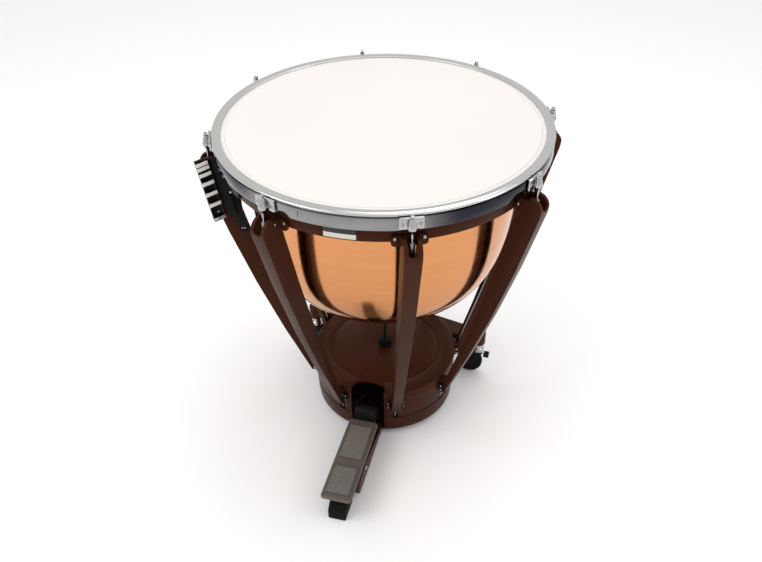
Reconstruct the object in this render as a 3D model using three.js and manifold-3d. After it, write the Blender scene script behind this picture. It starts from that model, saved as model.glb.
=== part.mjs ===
// Pedal timpani: a copper bowl hung in a cast frame of eight hollow struts, with a pedal that pulls the
// counterhoop down through a rocker, a spider and eight pull rods.
// Millimetres, +Z up. The player stands on the -Y side, where the pedal is.
// Everything is laid out about the drum axis, and the whole is moved at the end so that the origin is the
// centre of its box, on the floor.
import * as THREE from "three";
import { mergeVertices } from "three/addons/utils/BufferGeometryUtils.js";
import Module from "manifold-3d";

const wasm = await Module();
wasm.setup();

// ---- Driving dimensions -------------------------------------------------------------------------------

const GAP = 0.3; // between pieces that touch
const RUNNING = 0.3; // radial clearance of a pin or screw that turns in a hole

const STATIONS = 8; // struts, lugs, tension screws and pull rods
const ROUND = 48; // sides of the large round pieces
const SMALL_ROUND = 14;
const SCREW_SIDES = 10;

const hoop = { outer: 400, width: 21, top: 867, flange: 3.4, height: 39, wall: 4, bead: 6, groove: 2 };
const head = { thickness: 0.8, play: 2 };
const bowl = {
  rim: hoop.outer - 31.5,
  body: hoop.outer - 61, // radius of the rounded body, carried on to the bearing edge's height
  depth: 449,
  collar: 58, // below the bearing edge: how far down the rim stays straight
  waist: 90, // and where the body proper begins
  taper: 0.076,
  fullness: 5,
  roundness: 3.76,
  wall: 2,
  vent: 14,
};
const lip = { width: 8, thickness: 3.6 };
const ring = { width: 11, height: 36, belowTop: 40 };

const base = { radius: 198, top: 150, bottom: 16, floor: 8, wall: 7 };
const lid = { radius: base.radius + 2, thickness: 12.7, groove: base.radius - 46, grooveWidth: 3, grooveDepth: 2, edge: 5 };

const strut = {
  foot: 105, // height of the foot above the floor
  footRadius: base.radius + 15, // outer face at the foot
  footDepth: 14,
  shoulder: hoop.top - 95, // where the bowed leg ends and the ear begins
  shoulderRadius: hoop.outer + 34,
  shoulderDepth: 55,
  outerBulge: 28, // how far the leg's two edges bow outwards of straight
  innerBulge: 18,
  earRadius: 28,
  earTop: hoop.top - 52,
  seatTop: hoop.top - 59,
  topWidth: 39,
  footWidth: 24,
  wall: 5,
  notchWidth: 22,
  notchBottom: hoop.top - 84,
  flangeWidth: 78,
  flangeThickness: 6,
  flangeHeight: 26,
};

const lug = {
  width: 52,
  height: 28,
  plateTop: 5, // below the hoop's top
  plate: 5,
  shelf: 2,
  boss: 9.8,
  neck: 4.5,
  neckEnd: 48, // heights below the hoop's top
  flare: 37,
  shoulder: 28,
  wide: 22,
  cap: 4,
};
const screw = { radius: 3.5, head: 8, headHeight: 7.7, offset: 12, end: hoop.top - 77 };
const pullRod = {
  radius: 2.5,
  footRadius: strut.footRadius - 10.5,
  sleeve: 7,
  sleeveTop: hoop.top - 61,
  sleeveBottom: hoop.top - 95,
};

const mouth = { halfWidth: 46, back: 150, sill: 28, corner: 30 }; // the pedal's opening in lid and casting
const seatPad = { width: 26, height: 42, drop: 3 };

const caster = { x: 252, y: 130, wheel: 37.5, tread: 22, trail: 22, axle: 5, boss: 20, stem: 6, bossHeight: 36 };
const arm = { width: 40, thickness: 26, top: 149 };

const pedal = {
  pivotY: -360,
  pivotZ: 55,
  axle: 6,
  toe: -228,
  heel: -498,
  width: 80,
  top: 85,
  thickness: 9,
  corner: 10,
  linkY: -210, // the rocker's pin, held in the lever's window
  linkZ: 82,
  hubWidth: 56,
  hubRadius: 18,
  hubZ: 100,
};
const tread = { inset: 7, rise: 1.6, toe: -249, gap: -378, gapWidth: 22, heel: -483 };
const leg = { halfWidth: 40, wall: 5, bottom: 20, top: 68, toeTop: 45, end: -430 };
const foot = { halfWidth: 23, height: 44, front: -494, nose: 16 };
const rocker = {
  pivotY: 75,
  pivotZ: 57,
  thickness: 14,
  stem: 16,
  forkIn: 30,
  forkOut: 40,
  forkEnd: 38,
  axle: 6,
  pin: 4,
};
const spider = { hub: 26, bottom: 34, hubTop: 52, armHeight: 8, armWidth: 12, armRadius: base.radius - 10, trunnion: 5 };
const spring = { radius: 19, wire: 2.2, turns: 6 };
const knob = { radius: 18, height: 22, stud: 4, studTop: 240, seat: 22, seatThickness: 3, lobes: 7 };

const gauge = {
  station: -1, // beside this strut
  beside: strut.topWidth / 2 + 30.4, // of the rail's outer top corner from the strut's middle plane
  cornerRadius: hoop.outer + 44,
  top: hoop.top - 46,
  length: 172,
  width: 30,
  depth: 9,
  wall: 2,
  facing: 45, // the face looks this many degrees to the right of the player's own facing
  lean: 8.5,
  tube: 4,
  tubeTop: { radius: hoop.outer - 29, below: 153 },
  tubeBottom: { radius: hoop.outer - 34, below: 204 },
};
const bracket = {
  thickness: 4,
  from: strut.topWidth / 2 + 27.3, // ends of the band on the bowl ring, from the strut's middle plane
  to: strut.topWidth / 2 + 151.8,
  plateOffset: strut.topWidth / 2 + 0.5, // of the plate beside the strut, from the strut's middle plane
  plate: [
    [8, -51],
    [-11, -62],
    [-11, -90],
    [-34, -152],
    [-51, -171],
    [-51, -199],
    [-59, -242],
    [-61, -262],
    [-38, -260],
    [-33, -219],
    [-14, -214],
    [10, -90],
  ], // beyond the hoop's radius, above its top
  bridge: { from: -9, to: 1, low: -72, high: -54, reach: strut.topWidth / 2 + 20.5 },
};
const marker = { width: 26, height: 9, thickness: 2.2, at: [0.055, 0.125, 0.22, 0.365, 0.54, 0.72] };
const plate = { width: 70, height: 31, thickness: 0.8, azimuth: 0.8 };

// ---- Worked-out heights --------------------------------------------------------------------------------

const bowlTop = hoop.top - 3; // the bearing edge that the head lies on
const headBottom = bowlTop + GAP;
const hoopInner = hoop.outer - hoop.width;
const hoopBottom = hoop.top - hoop.height;
const flangeUnder = hoop.top - hoop.flange;
const ringTop = bowlTop - ring.belowTop;
const ringBottom = ringTop - ring.height;
const ringInner = bowl.rim + 2 * GAP;
const ringOuter = ringInner + ring.width;
const screwRadius = hoop.outer + screw.offset;
const lugTop = hoop.top;
const capTop = lugTop - lug.cap;
const plateTop = lugTop - lug.plateTop;
const lugBottom = plateTop - lug.height;
const baseFloor = base.bottom + base.floor;
const lidBottom = base.top + GAP;
const lidTop = lidBottom + lid.thickness;
const spiderTop = spider.bottom + spider.armHeight;
const bossBottom = arm.top - caster.bossHeight;

// ---- Materials ------------------------------------------------------------------------------------------

const paint = { color: 0x3f2219, roughness: 0.42, metalness: 0.15 };
const chrome = { color: 0xb4b4b0, roughness: 0.12, metalness: 1 };
const steel = { color: 0x8c8c8a, roughness: 0.35, metalness: 1 };
const copper = { color: 0xd98f5f, roughness: 0.16, metalness: 1 };
const skin = { color: 0xf6f2e8, roughness: 0.55, metalness: 0 };
const black = { color: 0x141414, roughness: 0.5, metalness: 0.1 };
const rubber = { color: 0x1c1a19, roughness: 0.85, metalness: 0 };
const alloy = { color: 0x7a7065, roughness: 0.5, metalness: 0.7 };
const white = { color: 0xe6e4dc, roughness: 0.5, metalness: 0 };
const red = { color: 0xb02a20, roughness: 0.5, metalness: 0 };

// ---- Shaping helpers ------------------------------------------------------------------------------------

function solid(geometry) {
  const bare = geometry.clone();
  bare.deleteAttribute("normal");
  bare.deleteAttribute("uv");
  const merged = mergeVertices(bare, 1e-4);
  return new wasm.Manifold(
    new wasm.Mesh({
      numProp: 3,
      vertProperties: merged.attributes.position.array,
      triVerts: new Uint32Array(merged.index.array),
    }),
  );
}

function geometryOf(body) {
  const mesh = body.getMesh();
  const geometry = new THREE.BufferGeometry();
  geometry.setAttribute("position", new THREE.BufferAttribute(mesh.vertProperties, 3));
  geometry.setIndex(new THREE.BufferAttribute(mesh.triVerts, 1));
  geometry.computeVertexNormals();
  return geometry;
}

function union(...bodies) {
  return bodies.reduce((sum, body) => sum.add(body));
}

function box(x0, x1, y0, y1, z0, z1) {
  const geometry = new THREE.BoxGeometry(x1 - x0, y1 - y0, z1 - z0);
  geometry.translate((x0 + x1) / 2, (y0 + y1) / 2, (z0 + z1) / 2);
  return solid(geometry);
}

function cylinder(radius, x, y, z0, z1, sides = SMALL_ROUND) {
  const geometry = new THREE.CylinderGeometry(radius, radius, z1 - z0, sides);
  geometry.rotateX(Math.PI / 2);
  geometry.translate(x, y, (z0 + z1) / 2);
  return solid(geometry);
}

function crossPin(radius, halfLength, y, z, sides = SMALL_ROUND) {
  const geometry = new THREE.CylinderGeometry(radius, radius, 2 * halfLength, sides);
  geometry.rotateZ(Math.PI / 2);
  geometry.translate(0, y, z);
  return solid(geometry);
}

function rodBetween(radius, from, to, sides = 8) {
  const along = new THREE.Vector3().subVectors(to, from);
  const geometry = new THREE.CylinderGeometry(radius, radius, along.length(), sides);
  const turn = new THREE.Quaternion().setFromUnitVectors(new THREE.Vector3(0, 1, 0), along.clone().normalize());
  geometry.applyQuaternion(turn);
  geometry.translate((from.x + to.x) / 2, (from.y + to.y) / 2, (from.z + to.z) / 2);
  return solid(geometry);
}

// A ring or disc about the Z axis from a closed outline of [radius, z] points, in either direction.
function revolve(points, sides = ROUND, x = 0, y = 0) {
  const area = points.reduce((sum, [r, z], i) => {
    const [r2, z2] = points[(i + 1) % points.length];
    return sum + r * z2 - r2 * z;
  }, 0);
  const ordered = area > 0 ? points : [...points].reverse();
  const onAxis = ordered.some(([r]) => r === 0);
  const start = onAxis ? ordered.findIndex(([r], i) => r === 0 && ordered[(i + 1) % ordered.length][0] > 0) : 0;
  const turned = [...ordered.slice(start), ...ordered.slice(0, start)];
  const profile = turned.map(([r, z]) => new THREE.Vector2(r, z));
  if (!onAxis) profile.push(profile[0].clone());
  const geometry = new THREE.LatheGeometry(profile, sides);
  geometry.rotateX(Math.PI / 2);
  geometry.translate(x, y, 0);
  return solid(geometry);
}

// An outline in the radial plane of a station, [radius, z] points or a THREE.Shape, given a width
// across it. A station faces -Y: radius runs along -Y.
function across(outline, width, bevel = 0) {
  const shape = outline instanceof THREE.Shape ? outline : shapeOf(outline);
  const geometry = new THREE.ExtrudeGeometry(shape, {
    depth: width - 2 * bevel,
    bevelEnabled: bevel > 0,
    bevelThickness: bevel,
    bevelSize: bevel,
    bevelOffset: -bevel,
    bevelSegments: 1,
    curveSegments: 4,
  });
  geometry.translate(0, 0, bevel - width / 2);
  const frame = new THREE.Matrix4().makeBasis(
    new THREE.Vector3(0, -1, 0),
    new THREE.Vector3(0, 0, 1),
    new THREE.Vector3(-1, 0, 0),
  );
  geometry.applyMatrix4(frame);
  return geometry;
}

// An outline seen from above, [x, y] points or a THREE.Shape, raised from z0 to z1.
function raised(outline, z0, z1, bevel = 0) {
  const shape = outline instanceof THREE.Shape ? outline : shapeOf(outline);
  const geometry = new THREE.ExtrudeGeometry(shape, {
    depth: z1 - z0 - 2 * bevel,
    bevelEnabled: bevel > 0,
    bevelThickness: bevel,
    bevelSize: bevel,
    bevelOffset: -bevel,
    bevelSegments: 1,
    curveSegments: 3,
  });
  geometry.translate(0, 0, z0 + bevel);
  return solid(geometry);
}

function shapeOf(points) {
  return new THREE.Shape(points.map(([x, y]) => new THREE.Vector2(x, y)));
}

function roundedRectangle(x0, x1, y0, y1, radius) {
  const shape = new THREE.Shape();
  shape.moveTo(x0 + radius, y0);
  shape.lineTo(x1 - radius, y0);
  shape.absarc(x1 - radius, y0 + radius, radius, -Math.PI / 2, 0, false);
  shape.lineTo(x1, y1 - radius);
  shape.absarc(x1 - radius, y1 - radius, radius, 0, Math.PI / 2, false);
  shape.lineTo(x0 + radius, y1);
  shape.absarc(x0 + radius, y1 - radius, radius, Math.PI / 2, Math.PI, false);
  shape.lineTo(x0, y0 + radius);
  shape.absarc(x0 + radius, y0 + radius, radius, Math.PI, 1.5 * Math.PI, false);
  return shape;
}

function stationAngle(index) {
  return ((index - 0.5) * 2 * Math.PI) / STATIONS;
}

function aroundStations(body) {
  const copies = [];
  for (let index = 1; index <= STATIONS; index++) {
    const degrees = THREE.MathUtils.radToDeg(stationAngle(index));
    copies.push(body.rotate([0, 0, degrees]));
  }
  return copies;
}

const root = new THREE.Group();

function place(name, shape, look, parent = root) {
  const geometry = shape.isBufferGeometry ? shape : geometryOf(shape);
  const mesh = new THREE.Mesh(geometry, new THREE.MeshStandardMaterial(look));
  mesh.name = name;
  parent.add(mesh);
  return mesh;
}

// ---- Bowl, head and hoops ---------------------------------------------------------------------------------

// Radius of the bowl's outside at a height.
function bowlRadius(z) {
  const depth = (bowlTop - z) / bowl.depth;
  const narrowing = 1 - bowl.taper * depth;
  return bowl.body * narrowing * Math.pow(1 - Math.pow(depth, bowl.roundness), 1 / bowl.fullness);
}

function bowlShell() {
  const steps = 7;
  const waistZ = bowlTop - bowl.waist;
  const collarZ = bowlTop - bowl.collar;
  const below = bowl.depth - bowl.waist;
  const outside = [
    [bowl.rim, bowlTop],
    [bowl.rim, collarZ],
  ];
  const inside = outside.map(([radius, z]) => [radius - bowl.wall, z]);
  for (let i = 0; i < steps; i++) {
    const turn = (i / steps) * (Math.PI / 2);
    const z = waistZ - below * Math.sin(turn);
    outside.push([bowlRadius(z), z]);
    inside.push([bowlRadius(z) - bowl.wall, z + bowl.wall * Math.sin(turn)]);
  }
  const bottom = bowlTop - bowl.depth;
  outside.push([bowl.vent, bottom]);
  inside.push([bowl.vent, bottom + bowl.wall]);
  const lipBottom = ringTop + GAP;
  const lipInner = bowl.rim - bowl.wall / 2;
  const lipOutline = [
    [lipInner, lipBottom],
    [bowl.rim + lip.width, lipBottom],
    [bowl.rim + lip.width, lipBottom + lip.thickness],
    [lipInner, lipBottom + lip.thickness],
  ];
  return union(revolve([...outside, ...inside.reverse()]), revolve(lipOutline));
}

function counterhoop() {
  const inner = hoop.outer - hoop.wall;
  const beadBottom = hoop.top - hoop.bead;
  return revolve([
    [hoopInner, flangeUnder],
    [hoopInner, hoop.top - 1],
    [hoopInner + 1.5, hoop.top],
    [hoop.outer - 2, hoop.top],
    [hoop.outer, hoop.top - 2],
    [hoop.outer, beadBottom],
    [hoop.outer - hoop.groove, beadBottom - 1],
    [hoop.outer - 0.5, beadBottom - 3],
    [hoop.outer - 0.5, hoopBottom],
    [inner, hoopBottom],
    [inner, flangeUnder],
  ]);
}

place("bowl", bowlShell(), copper);
place(
  "bowl_ring",
  revolve([
    [ringInner, ringBottom],
    [ringOuter, ringBottom],
    [ringOuter, ringTop],
    [ringInner, ringTop],
  ]),
  paint,
);
place("head_membrane", cylinder(hoopInner - head.play, 0, 0, headBottom, headBottom + head.thickness, ROUND), skin);
place("counterhoop", counterhoop(), chrome);
place(
  "flesh_hoop",
  revolve([
    [hoopInner + 4, flangeUnder - GAP - 12],
    [hoop.outer - hoop.wall - 2, flangeUnder - GAP - 12],
    [hoop.outer - hoop.wall - 2, flangeUnder - GAP],
    [hoopInner + 4, flangeUnder - GAP],
  ]),
  steel,
);

// ---- Struts -----------------------------------------------------------------------------------------------

// The leg bows outwards by a quadratic curve: its two edges as control points.
function legEdges(inset) {
  const middle = (strut.foot + strut.shoulder) / 2;
  const outerMiddle = (strut.footRadius + strut.shoulderRadius) / 2 + strut.outerBulge;
  const innerFoot = strut.footRadius - strut.footDepth;
  const innerShoulder = strut.shoulderRadius - strut.shoulderDepth;
  const innerMiddle = (innerFoot + innerShoulder) / 2 + strut.innerBulge;
  return { middle, outerMiddle: outerMiddle - inset, innerFoot, innerShoulder, innerMiddle };
}

function strutOutline() {
  const edge = legEdges(0);
  const earCentre = strut.shoulderRadius + 2 - strut.earRadius;
  const shape = new THREE.Shape();
  shape.moveTo(edge.innerFoot, strut.foot);
  shape.lineTo(strut.footRadius, strut.foot);
  shape.quadraticCurveTo(edge.outerMiddle, edge.middle, strut.shoulderRadius, strut.shoulder);
  shape.lineTo(earCentre + strut.earRadius, strut.earTop - strut.earRadius);
  shape.absarc(earCentre, strut.earTop - strut.earRadius, strut.earRadius, 0, Math.PI / 2, false);
  shape.lineTo(earCentre - 3, strut.earTop - 1);
  shape.lineTo(earCentre - 5, strut.seatTop);
  shape.lineTo(ringOuter + 1.5, strut.seatTop);
  shape.lineTo(ringOuter + 1.5, ringBottom - 2);
  shape.lineTo(edge.innerShoulder, strut.shoulder);
  shape.quadraticCurveTo(edge.innerMiddle, edge.middle, edge.innerFoot, strut.foot);
  return shape;
}

// The hollow of a strut: inside its outer wall, open at the back, the foot and the top.
function strutHollow() {
  const edge = legEdges(strut.wall);
  const earCentre = strut.shoulderRadius + 2 - strut.earRadius;
  const earInside = strut.earRadius - strut.wall;
  const beyond = 40;
  const shape = new THREE.Shape();
  shape.moveTo(edge.innerFoot - beyond, strut.foot - beyond);
  shape.lineTo(strut.footRadius - strut.wall - 0.3 * beyond, strut.foot - beyond);
  shape.lineTo(strut.footRadius - strut.wall, strut.foot);
  shape.quadraticCurveTo(
    edge.outerMiddle,
    edge.middle,
    strut.shoulderRadius - strut.wall,
    strut.shoulder,
  );
  shape.lineTo(earCentre + earInside, strut.earTop - strut.earRadius);
  shape.absarc(earCentre, strut.earTop - strut.earRadius, earInside, 0, Math.PI / 2, false);
  shape.lineTo(earCentre, strut.earTop + beyond);
  shape.lineTo(edge.innerShoulder - beyond, strut.earTop + beyond);
  shape.lineTo(edge.innerShoulder - beyond, strut.shoulder);
  shape.quadraticCurveTo(edge.innerMiddle - beyond, edge.middle, edge.innerFoot - beyond, strut.foot - beyond);
  return shape;
}

// Narrows a piece evenly from the shoulder down to the foot.
function taper(geometry) {
  const position = geometry.attributes.position;
  for (let i = 0; i < position.count; i++) {
    const up = THREE.MathUtils.clamp((position.getZ(i) - strut.foot) / (strut.shoulder - strut.foot), 0, 1);
    const width = THREE.MathUtils.lerp(strut.footWidth / strut.topWidth, 1, up);
    position.setX(i, position.getX(i) * width);
  }
  return geometry;
}

function strutCasting() {
  const body = solid(taper(across(strutOutline(), strut.topWidth)));
  const hollow = solid(taper(across(strutHollow(), strut.topWidth - 2 * strut.wall)));
  const notch = new THREE.Shape();
  const half = strut.notchWidth / 2;
  notch.moveTo(-half, strut.earTop + 20);
  notch.lineTo(-half, strut.notchBottom + half);
  notch.absarc(0, strut.notchBottom + half, half, Math.PI, 2 * Math.PI, false);
  notch.lineTo(half, strut.earTop + 20);
  const cut = new THREE.ExtrudeGeometry(notch, { depth: 70, bevelEnabled: false, curveSegments: 3 });
  cut.rotateX(Math.PI / 2);
  cut.translate(0, -(screwRadius - 8), 0);
  const flangeInner = ringOuter + GAP;
  const flangeTop = strut.seatTop - 0.5;
  const flange = raised(
    roundedRectangle(-strut.flangeWidth / 2, strut.flangeWidth / 2, flangeTop - strut.flangeHeight, flangeTop, 8),
    0,
    strut.flangeThickness,
  );
  const upright = flange.rotate([90, 0, 0]).translate([0, -flangeInner, 0]);
  return body.subtract(hollow).add(upright).subtract(solid(cut));
}

const strutGeometry = geometryOf(strutCasting());
for (let index = 1; index <= STATIONS; index++) {
  const mesh = place(`strut_${index}`, strutGeometry, paint);
  mesh.rotation.z = stationAngle(index);
}

// ---- Lugs and tension screws --------------------------------------------------------------------------------

function lugBracket() {
  const half = lug.width / 2;
  const inner = hoop.outer + GAP;
  const back = box(-half, half, -inner - lug.plate, -inner, lugBottom, plateTop);
  const shelf = box(-half, half, -inner - lug.plate - lug.shelf, -inner, plateTop - 3, plateTop);
  const web = box(-lug.neck, lug.neck, -screwRadius, -inner, lugBottom + 4, capTop - 4);
  const boss = revolve(
    [
      [0, lugTop - lug.neckEnd],
      [lug.neck, lugTop - lug.neckEnd],
      [lug.neck, lugTop - lug.flare],
      [lug.boss, lugTop - lug.shoulder],
      [lug.boss, lugTop - lug.wide],
      [lug.boss * 0.72, capTop - 4],
      [lug.boss * 0.5, capTop],
      [0, capTop],
    ],
    10,
    0,
    -screwRadius,
  );
  const keepOut = box(-half, half, -inner, -inner + 12, lugBottom - 40, lugTop + 20);
  const bore = cylinder(screw.radius + RUNNING, 0, -screwRadius, lugBottom - 60, lugTop + 40, SCREW_SIDES);
  return union(back, shelf, web, boss).subtract(keepOut).subtract(bore);
}

function tensionScrew() {
  const seat = capTop + GAP;
  const half = screw.head / 2;
  const headBlock = box(
    -half,
    half,
    -screwRadius - half,
    -screwRadius + half,
    seat,
    seat + screw.headHeight,
  );
  return headBlock.add(cylinder(screw.radius, 0, -screwRadius, screw.end, seat + 1, SCREW_SIDES));
}

const lugGeometry = geometryOf(lugBracket());
const screwGeometry = geometryOf(tensionScrew());
for (let index = 1; index <= STATIONS; index++) {
  place(`lug_${index}`, lugGeometry, chrome).rotation.z = stationAngle(index);
  place(`tension_screw_${index}`, screwGeometry, chrome).rotation.z = stationAngle(index);
}

// ---- Spider with its pull rods --------------------------------------------------------------------------------

function tuningSpider() {
  const rodSlope = (screwRadius - pullRod.footRadius) / (pullRod.sleeveBottom - strut.foot);
  const rodEnd = (spider.bottom + spiderTop) / 2;
  const rodEndRadius = pullRod.footRadius - rodSlope * (strut.foot - rodEnd);
  const rod = rodBetween(
    pullRod.radius,
    new THREE.Vector3(0, -rodEndRadius, rodEnd),
    new THREE.Vector3(0, -screwRadius, pullRod.sleeveBottom + 4),
  );
  const sleeve = cylinder(pullRod.sleeve, 0, -screwRadius, pullRod.sleeveBottom, pullRod.sleeveTop, SCREW_SIDES);
  const thread = cylinder(screw.radius + RUNNING, 0, -screwRadius, screw.end - 4, pullRod.sleeveTop + 4, SCREW_SIDES);
  const reach = box(
    -spider.armWidth / 2,
    spider.armWidth / 2,
    -spider.armRadius,
    0,
    spider.bottom,
    spiderTop,
  );
  const station = union(rod, sleeve.subtract(thread), reach);
  const hub = cylinder(spider.hub, 0, 0, spider.bottom, spider.hubTop, 24);
  const trunnionZ = rocker.pivotZ - rocker.thickness / 2 - GAP - spider.trunnion;
  const trunnion = crossPin(spider.trunnion, rocker.forkOut + 2, 0, trunnionZ);
  return union(hub, trunnion, ...aroundStations(station));
}

place("tuning_spider", tuningSpider(), steel);

// ---- Base -------------------------------------------------------------------------------------------------------

// The pedal's opening from above: straight sides and a round inner end.
function mouthOutline(margin) {
  const half = mouth.halfWidth + margin;
  const back = -mouth.back + margin;
  const shape = new THREE.Shape();
  shape.moveTo(-half, -lid.radius - 30);
  shape.lineTo(half, -lid.radius - 30);
  shape.lineTo(half, back - mouth.corner);
  shape.quadraticCurveTo(half, back, 0, back);
  shape.quadraticCurveTo(-half, back, -half, back - mouth.corner);
  return shape;
}

function casterArm(side) {
  const inner = 110;
  const half = arm.width / 2;
  const outline = [
    [side * inner, caster.y + 50],
    [side * inner, caster.y - 30],
    [side * caster.x, caster.y - half + 2],
    [side * caster.x, caster.y + half - 2],
  ];
  return union(
    raised(side > 0 ? outline : outline.reverse(), arm.top - arm.thickness, arm.top, 2),
    cylinder(caster.boss, side * caster.x, caster.y, bossBottom, arm.top + 2, 20),
  );
}

function baseCasting() {
  const inside = base.radius - base.wall;
  const pan = revolve([
    [0, base.bottom],
    [base.radius - 8, base.bottom],
    [base.radius - 4, base.bottom + 4],
    [base.radius, base.top - 12],
    [base.radius, base.top],
    [inside, base.top],
    [inside, baseFloor],
    [0, baseFloor],
  ]);
  const hollow = cylinder(inside - 2, 0, 0, baseFloor, arm.top + 20, ROUND);
  const innerFoot = strut.footRadius - strut.footDepth;
  const innerShoulder = strut.shoulderRadius - strut.shoulderDepth;
  const lean = (innerShoulder + 2 * strut.innerBulge - innerFoot) / (strut.shoulder - strut.foot);
  const padTop = strut.foot + seatPad.height;
  const padFoot = innerFoot - 1.2;
  const pad = solid(
    across(
      [
        [inside + 1, strut.foot + seatPad.drop],
        [padFoot + lean * seatPad.drop, strut.foot + seatPad.drop],
        [padFoot + lean * seatPad.height, padTop],
        [inside + 1, padTop],
      ],
      seatPad.width,
    ),
  );
  const rodSlot = box(-7, 7, -base.radius - 20, -inside + 10, strut.foot - 60, strut.foot - 4);
  const opening = raised(mouthOutline(0), mouth.sill, base.top + 20);
  let body = union(pan, casterArm(1), casterArm(-1)).subtract(hollow);
  body = union(body, ...aroundStations(pad));
  for (const slot of aroundStations(rodSlot)) body = body.subtract(slot);
  for (const side of [1, -1]) {
    body = body.subtract(
      cylinder(caster.stem + RUNNING, side * caster.x, caster.y, bossBottom - 1, arm.top - 8, SMALL_ROUND),
    );
    const post = box(
      side > 0 ? rocker.forkOut + 3 : -rocker.forkOut - 11,
      side > 0 ? rocker.forkOut + 11 : -rocker.forkOut - 3,
      rocker.pivotY - 11,
      rocker.pivotY + 11,
      baseFloor - 1,
      rocker.pivotZ + 11,
    );
    body = body.add(post);
  }
  const axleHole = crossPin(rocker.axle + RUNNING, rocker.forkOut + 20, rocker.pivotY, rocker.pivotZ);
  return body.subtract(opening).subtract(axleHole);
}

function baseLid() {
  const middle = lid.groove;
  const outline = [
    [0, lidBottom],
    [lid.radius - 1, lidBottom],
    [lid.radius, lidBottom + 2],
    [lid.radius, lidTop - lid.edge],
    [lid.radius - 1.5, lidTop - 1.5],
    [lid.radius - lid.edge, lidTop],
    [middle + lid.grooveWidth, lidTop],
    [middle + lid.grooveWidth / 2, lidTop - lid.grooveDepth],
    [middle, lidTop],
    [0, lidTop],
  ];
  return revolve(outline)
    .subtract(raised(mouthOutline(0), lidBottom - 5, lidTop + 5))
    .subtract(cylinder(knob.stud + RUNNING, 0, 0, lidBottom - 5, lidTop + 5));
}

place("base_casting", baseCasting(), paint);
place("base_lid", baseLid(), paint);

// ---- Knob, stud and spring ----------------------------------------------------------------------------------------

const springTop = lidBottom - 4;
const springBottom = spider.hubTop + GAP;

function springKnob() {
  const grip = new THREE.Shape();
  const steps = knob.lobes * 4;
  for (let i = 0; i < steps; i++) {
    const angle = (i / steps) * 2 * Math.PI;
    const radius = knob.radius + 1.6 * Math.cos(angle * knob.lobes) - 1.6;
    const point = [radius * Math.cos(angle), radius * Math.sin(angle)];
    if (i === 0) grip.moveTo(...point);
    else grip.lineTo(...point);
  }
  const gripBottom = lidTop + GAP;
  const seatTop = springTop + knob.seatThickness;
  return union(
    raised(grip, gripBottom, gripBottom + knob.height, 1.5),
    cylinder(knob.stud, 0, 0, springTop, knob.studTop, 12),
    cylinder(knob.seat, 0, 0, springTop + GAP, seatTop, 24),
  );
}

class Helix extends THREE.Curve {
  getPoint(t, target = new THREE.Vector3()) {
    const angle = t * spring.turns * 2 * Math.PI;
    const low = springBottom + spring.wire + GAP;
    const high = springTop - spring.wire - GAP;
    return target.set(spring.radius * Math.cos(angle), spring.radius * Math.sin(angle), low + t * (high - low));
  }
}

function springCoil() {
  const section = new THREE.Shape();
  section.absarc(0, 0, spring.wire, 0, 2 * Math.PI, false);
  const coil = new THREE.ExtrudeGeometry(section, {
    steps: spring.turns * 10,
    extrudePath: new Helix(),
    curveSegments: 3,
  });
  return solid(coil);
}

place("spring_knob", springKnob(), black);
place("spring", springCoil(), steel);

// ---- Rocker ---------------------------------------------------------------------------------------------------------

function rockerArm() {
  const half = rocker.thickness / 2;
  const low = rocker.pivotZ - half;
  const high = rocker.pivotZ + half;
  const crossBack = -rocker.forkEnd;
  const crossFront = crossBack - 12;
  const link = -pedal.linkY;
  const fork = [rocker.forkIn, -rocker.forkOut].map((x0) =>
    box(x0, x0 + rocker.forkOut - rocker.forkIn, crossFront, rocker.pivotY + 10, low, high),
  );
  const cross = box(-rocker.forkOut, rocker.forkOut, crossFront, crossBack, low, high);
  const stem = across(
    [
      [-crossBack, low],
      [-crossBack, high],
      [link - 30, pedal.linkZ + half],
      [link, pedal.linkZ + half],
      [link + half - 1, pedal.linkZ],
      [link, pedal.linkZ - half],
      [link - 30, pedal.linkZ - half],
      [-crossFront + 8, low],
    ],
    rocker.stem,
  );
  const pin = crossPin(rocker.pin, pedal.hubWidth / 2 - 2, pedal.linkY, pedal.linkZ);
  const bore = crossPin(rocker.axle + RUNNING, rocker.forkOut + 5, rocker.pivotY, rocker.pivotZ);
  return union(...fork, cross, solid(stem), pin).subtract(bore);
}

place("rocker_arm", rockerArm(), black);
place("rocker_axle", crossPin(rocker.axle, rocker.forkOut + 12, rocker.pivotY, rocker.pivotZ), steel);

// ---- Pedal ------------------------------------------------------------------------------------------------------------

const treadBottom = pedal.top - pedal.thickness;

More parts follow.
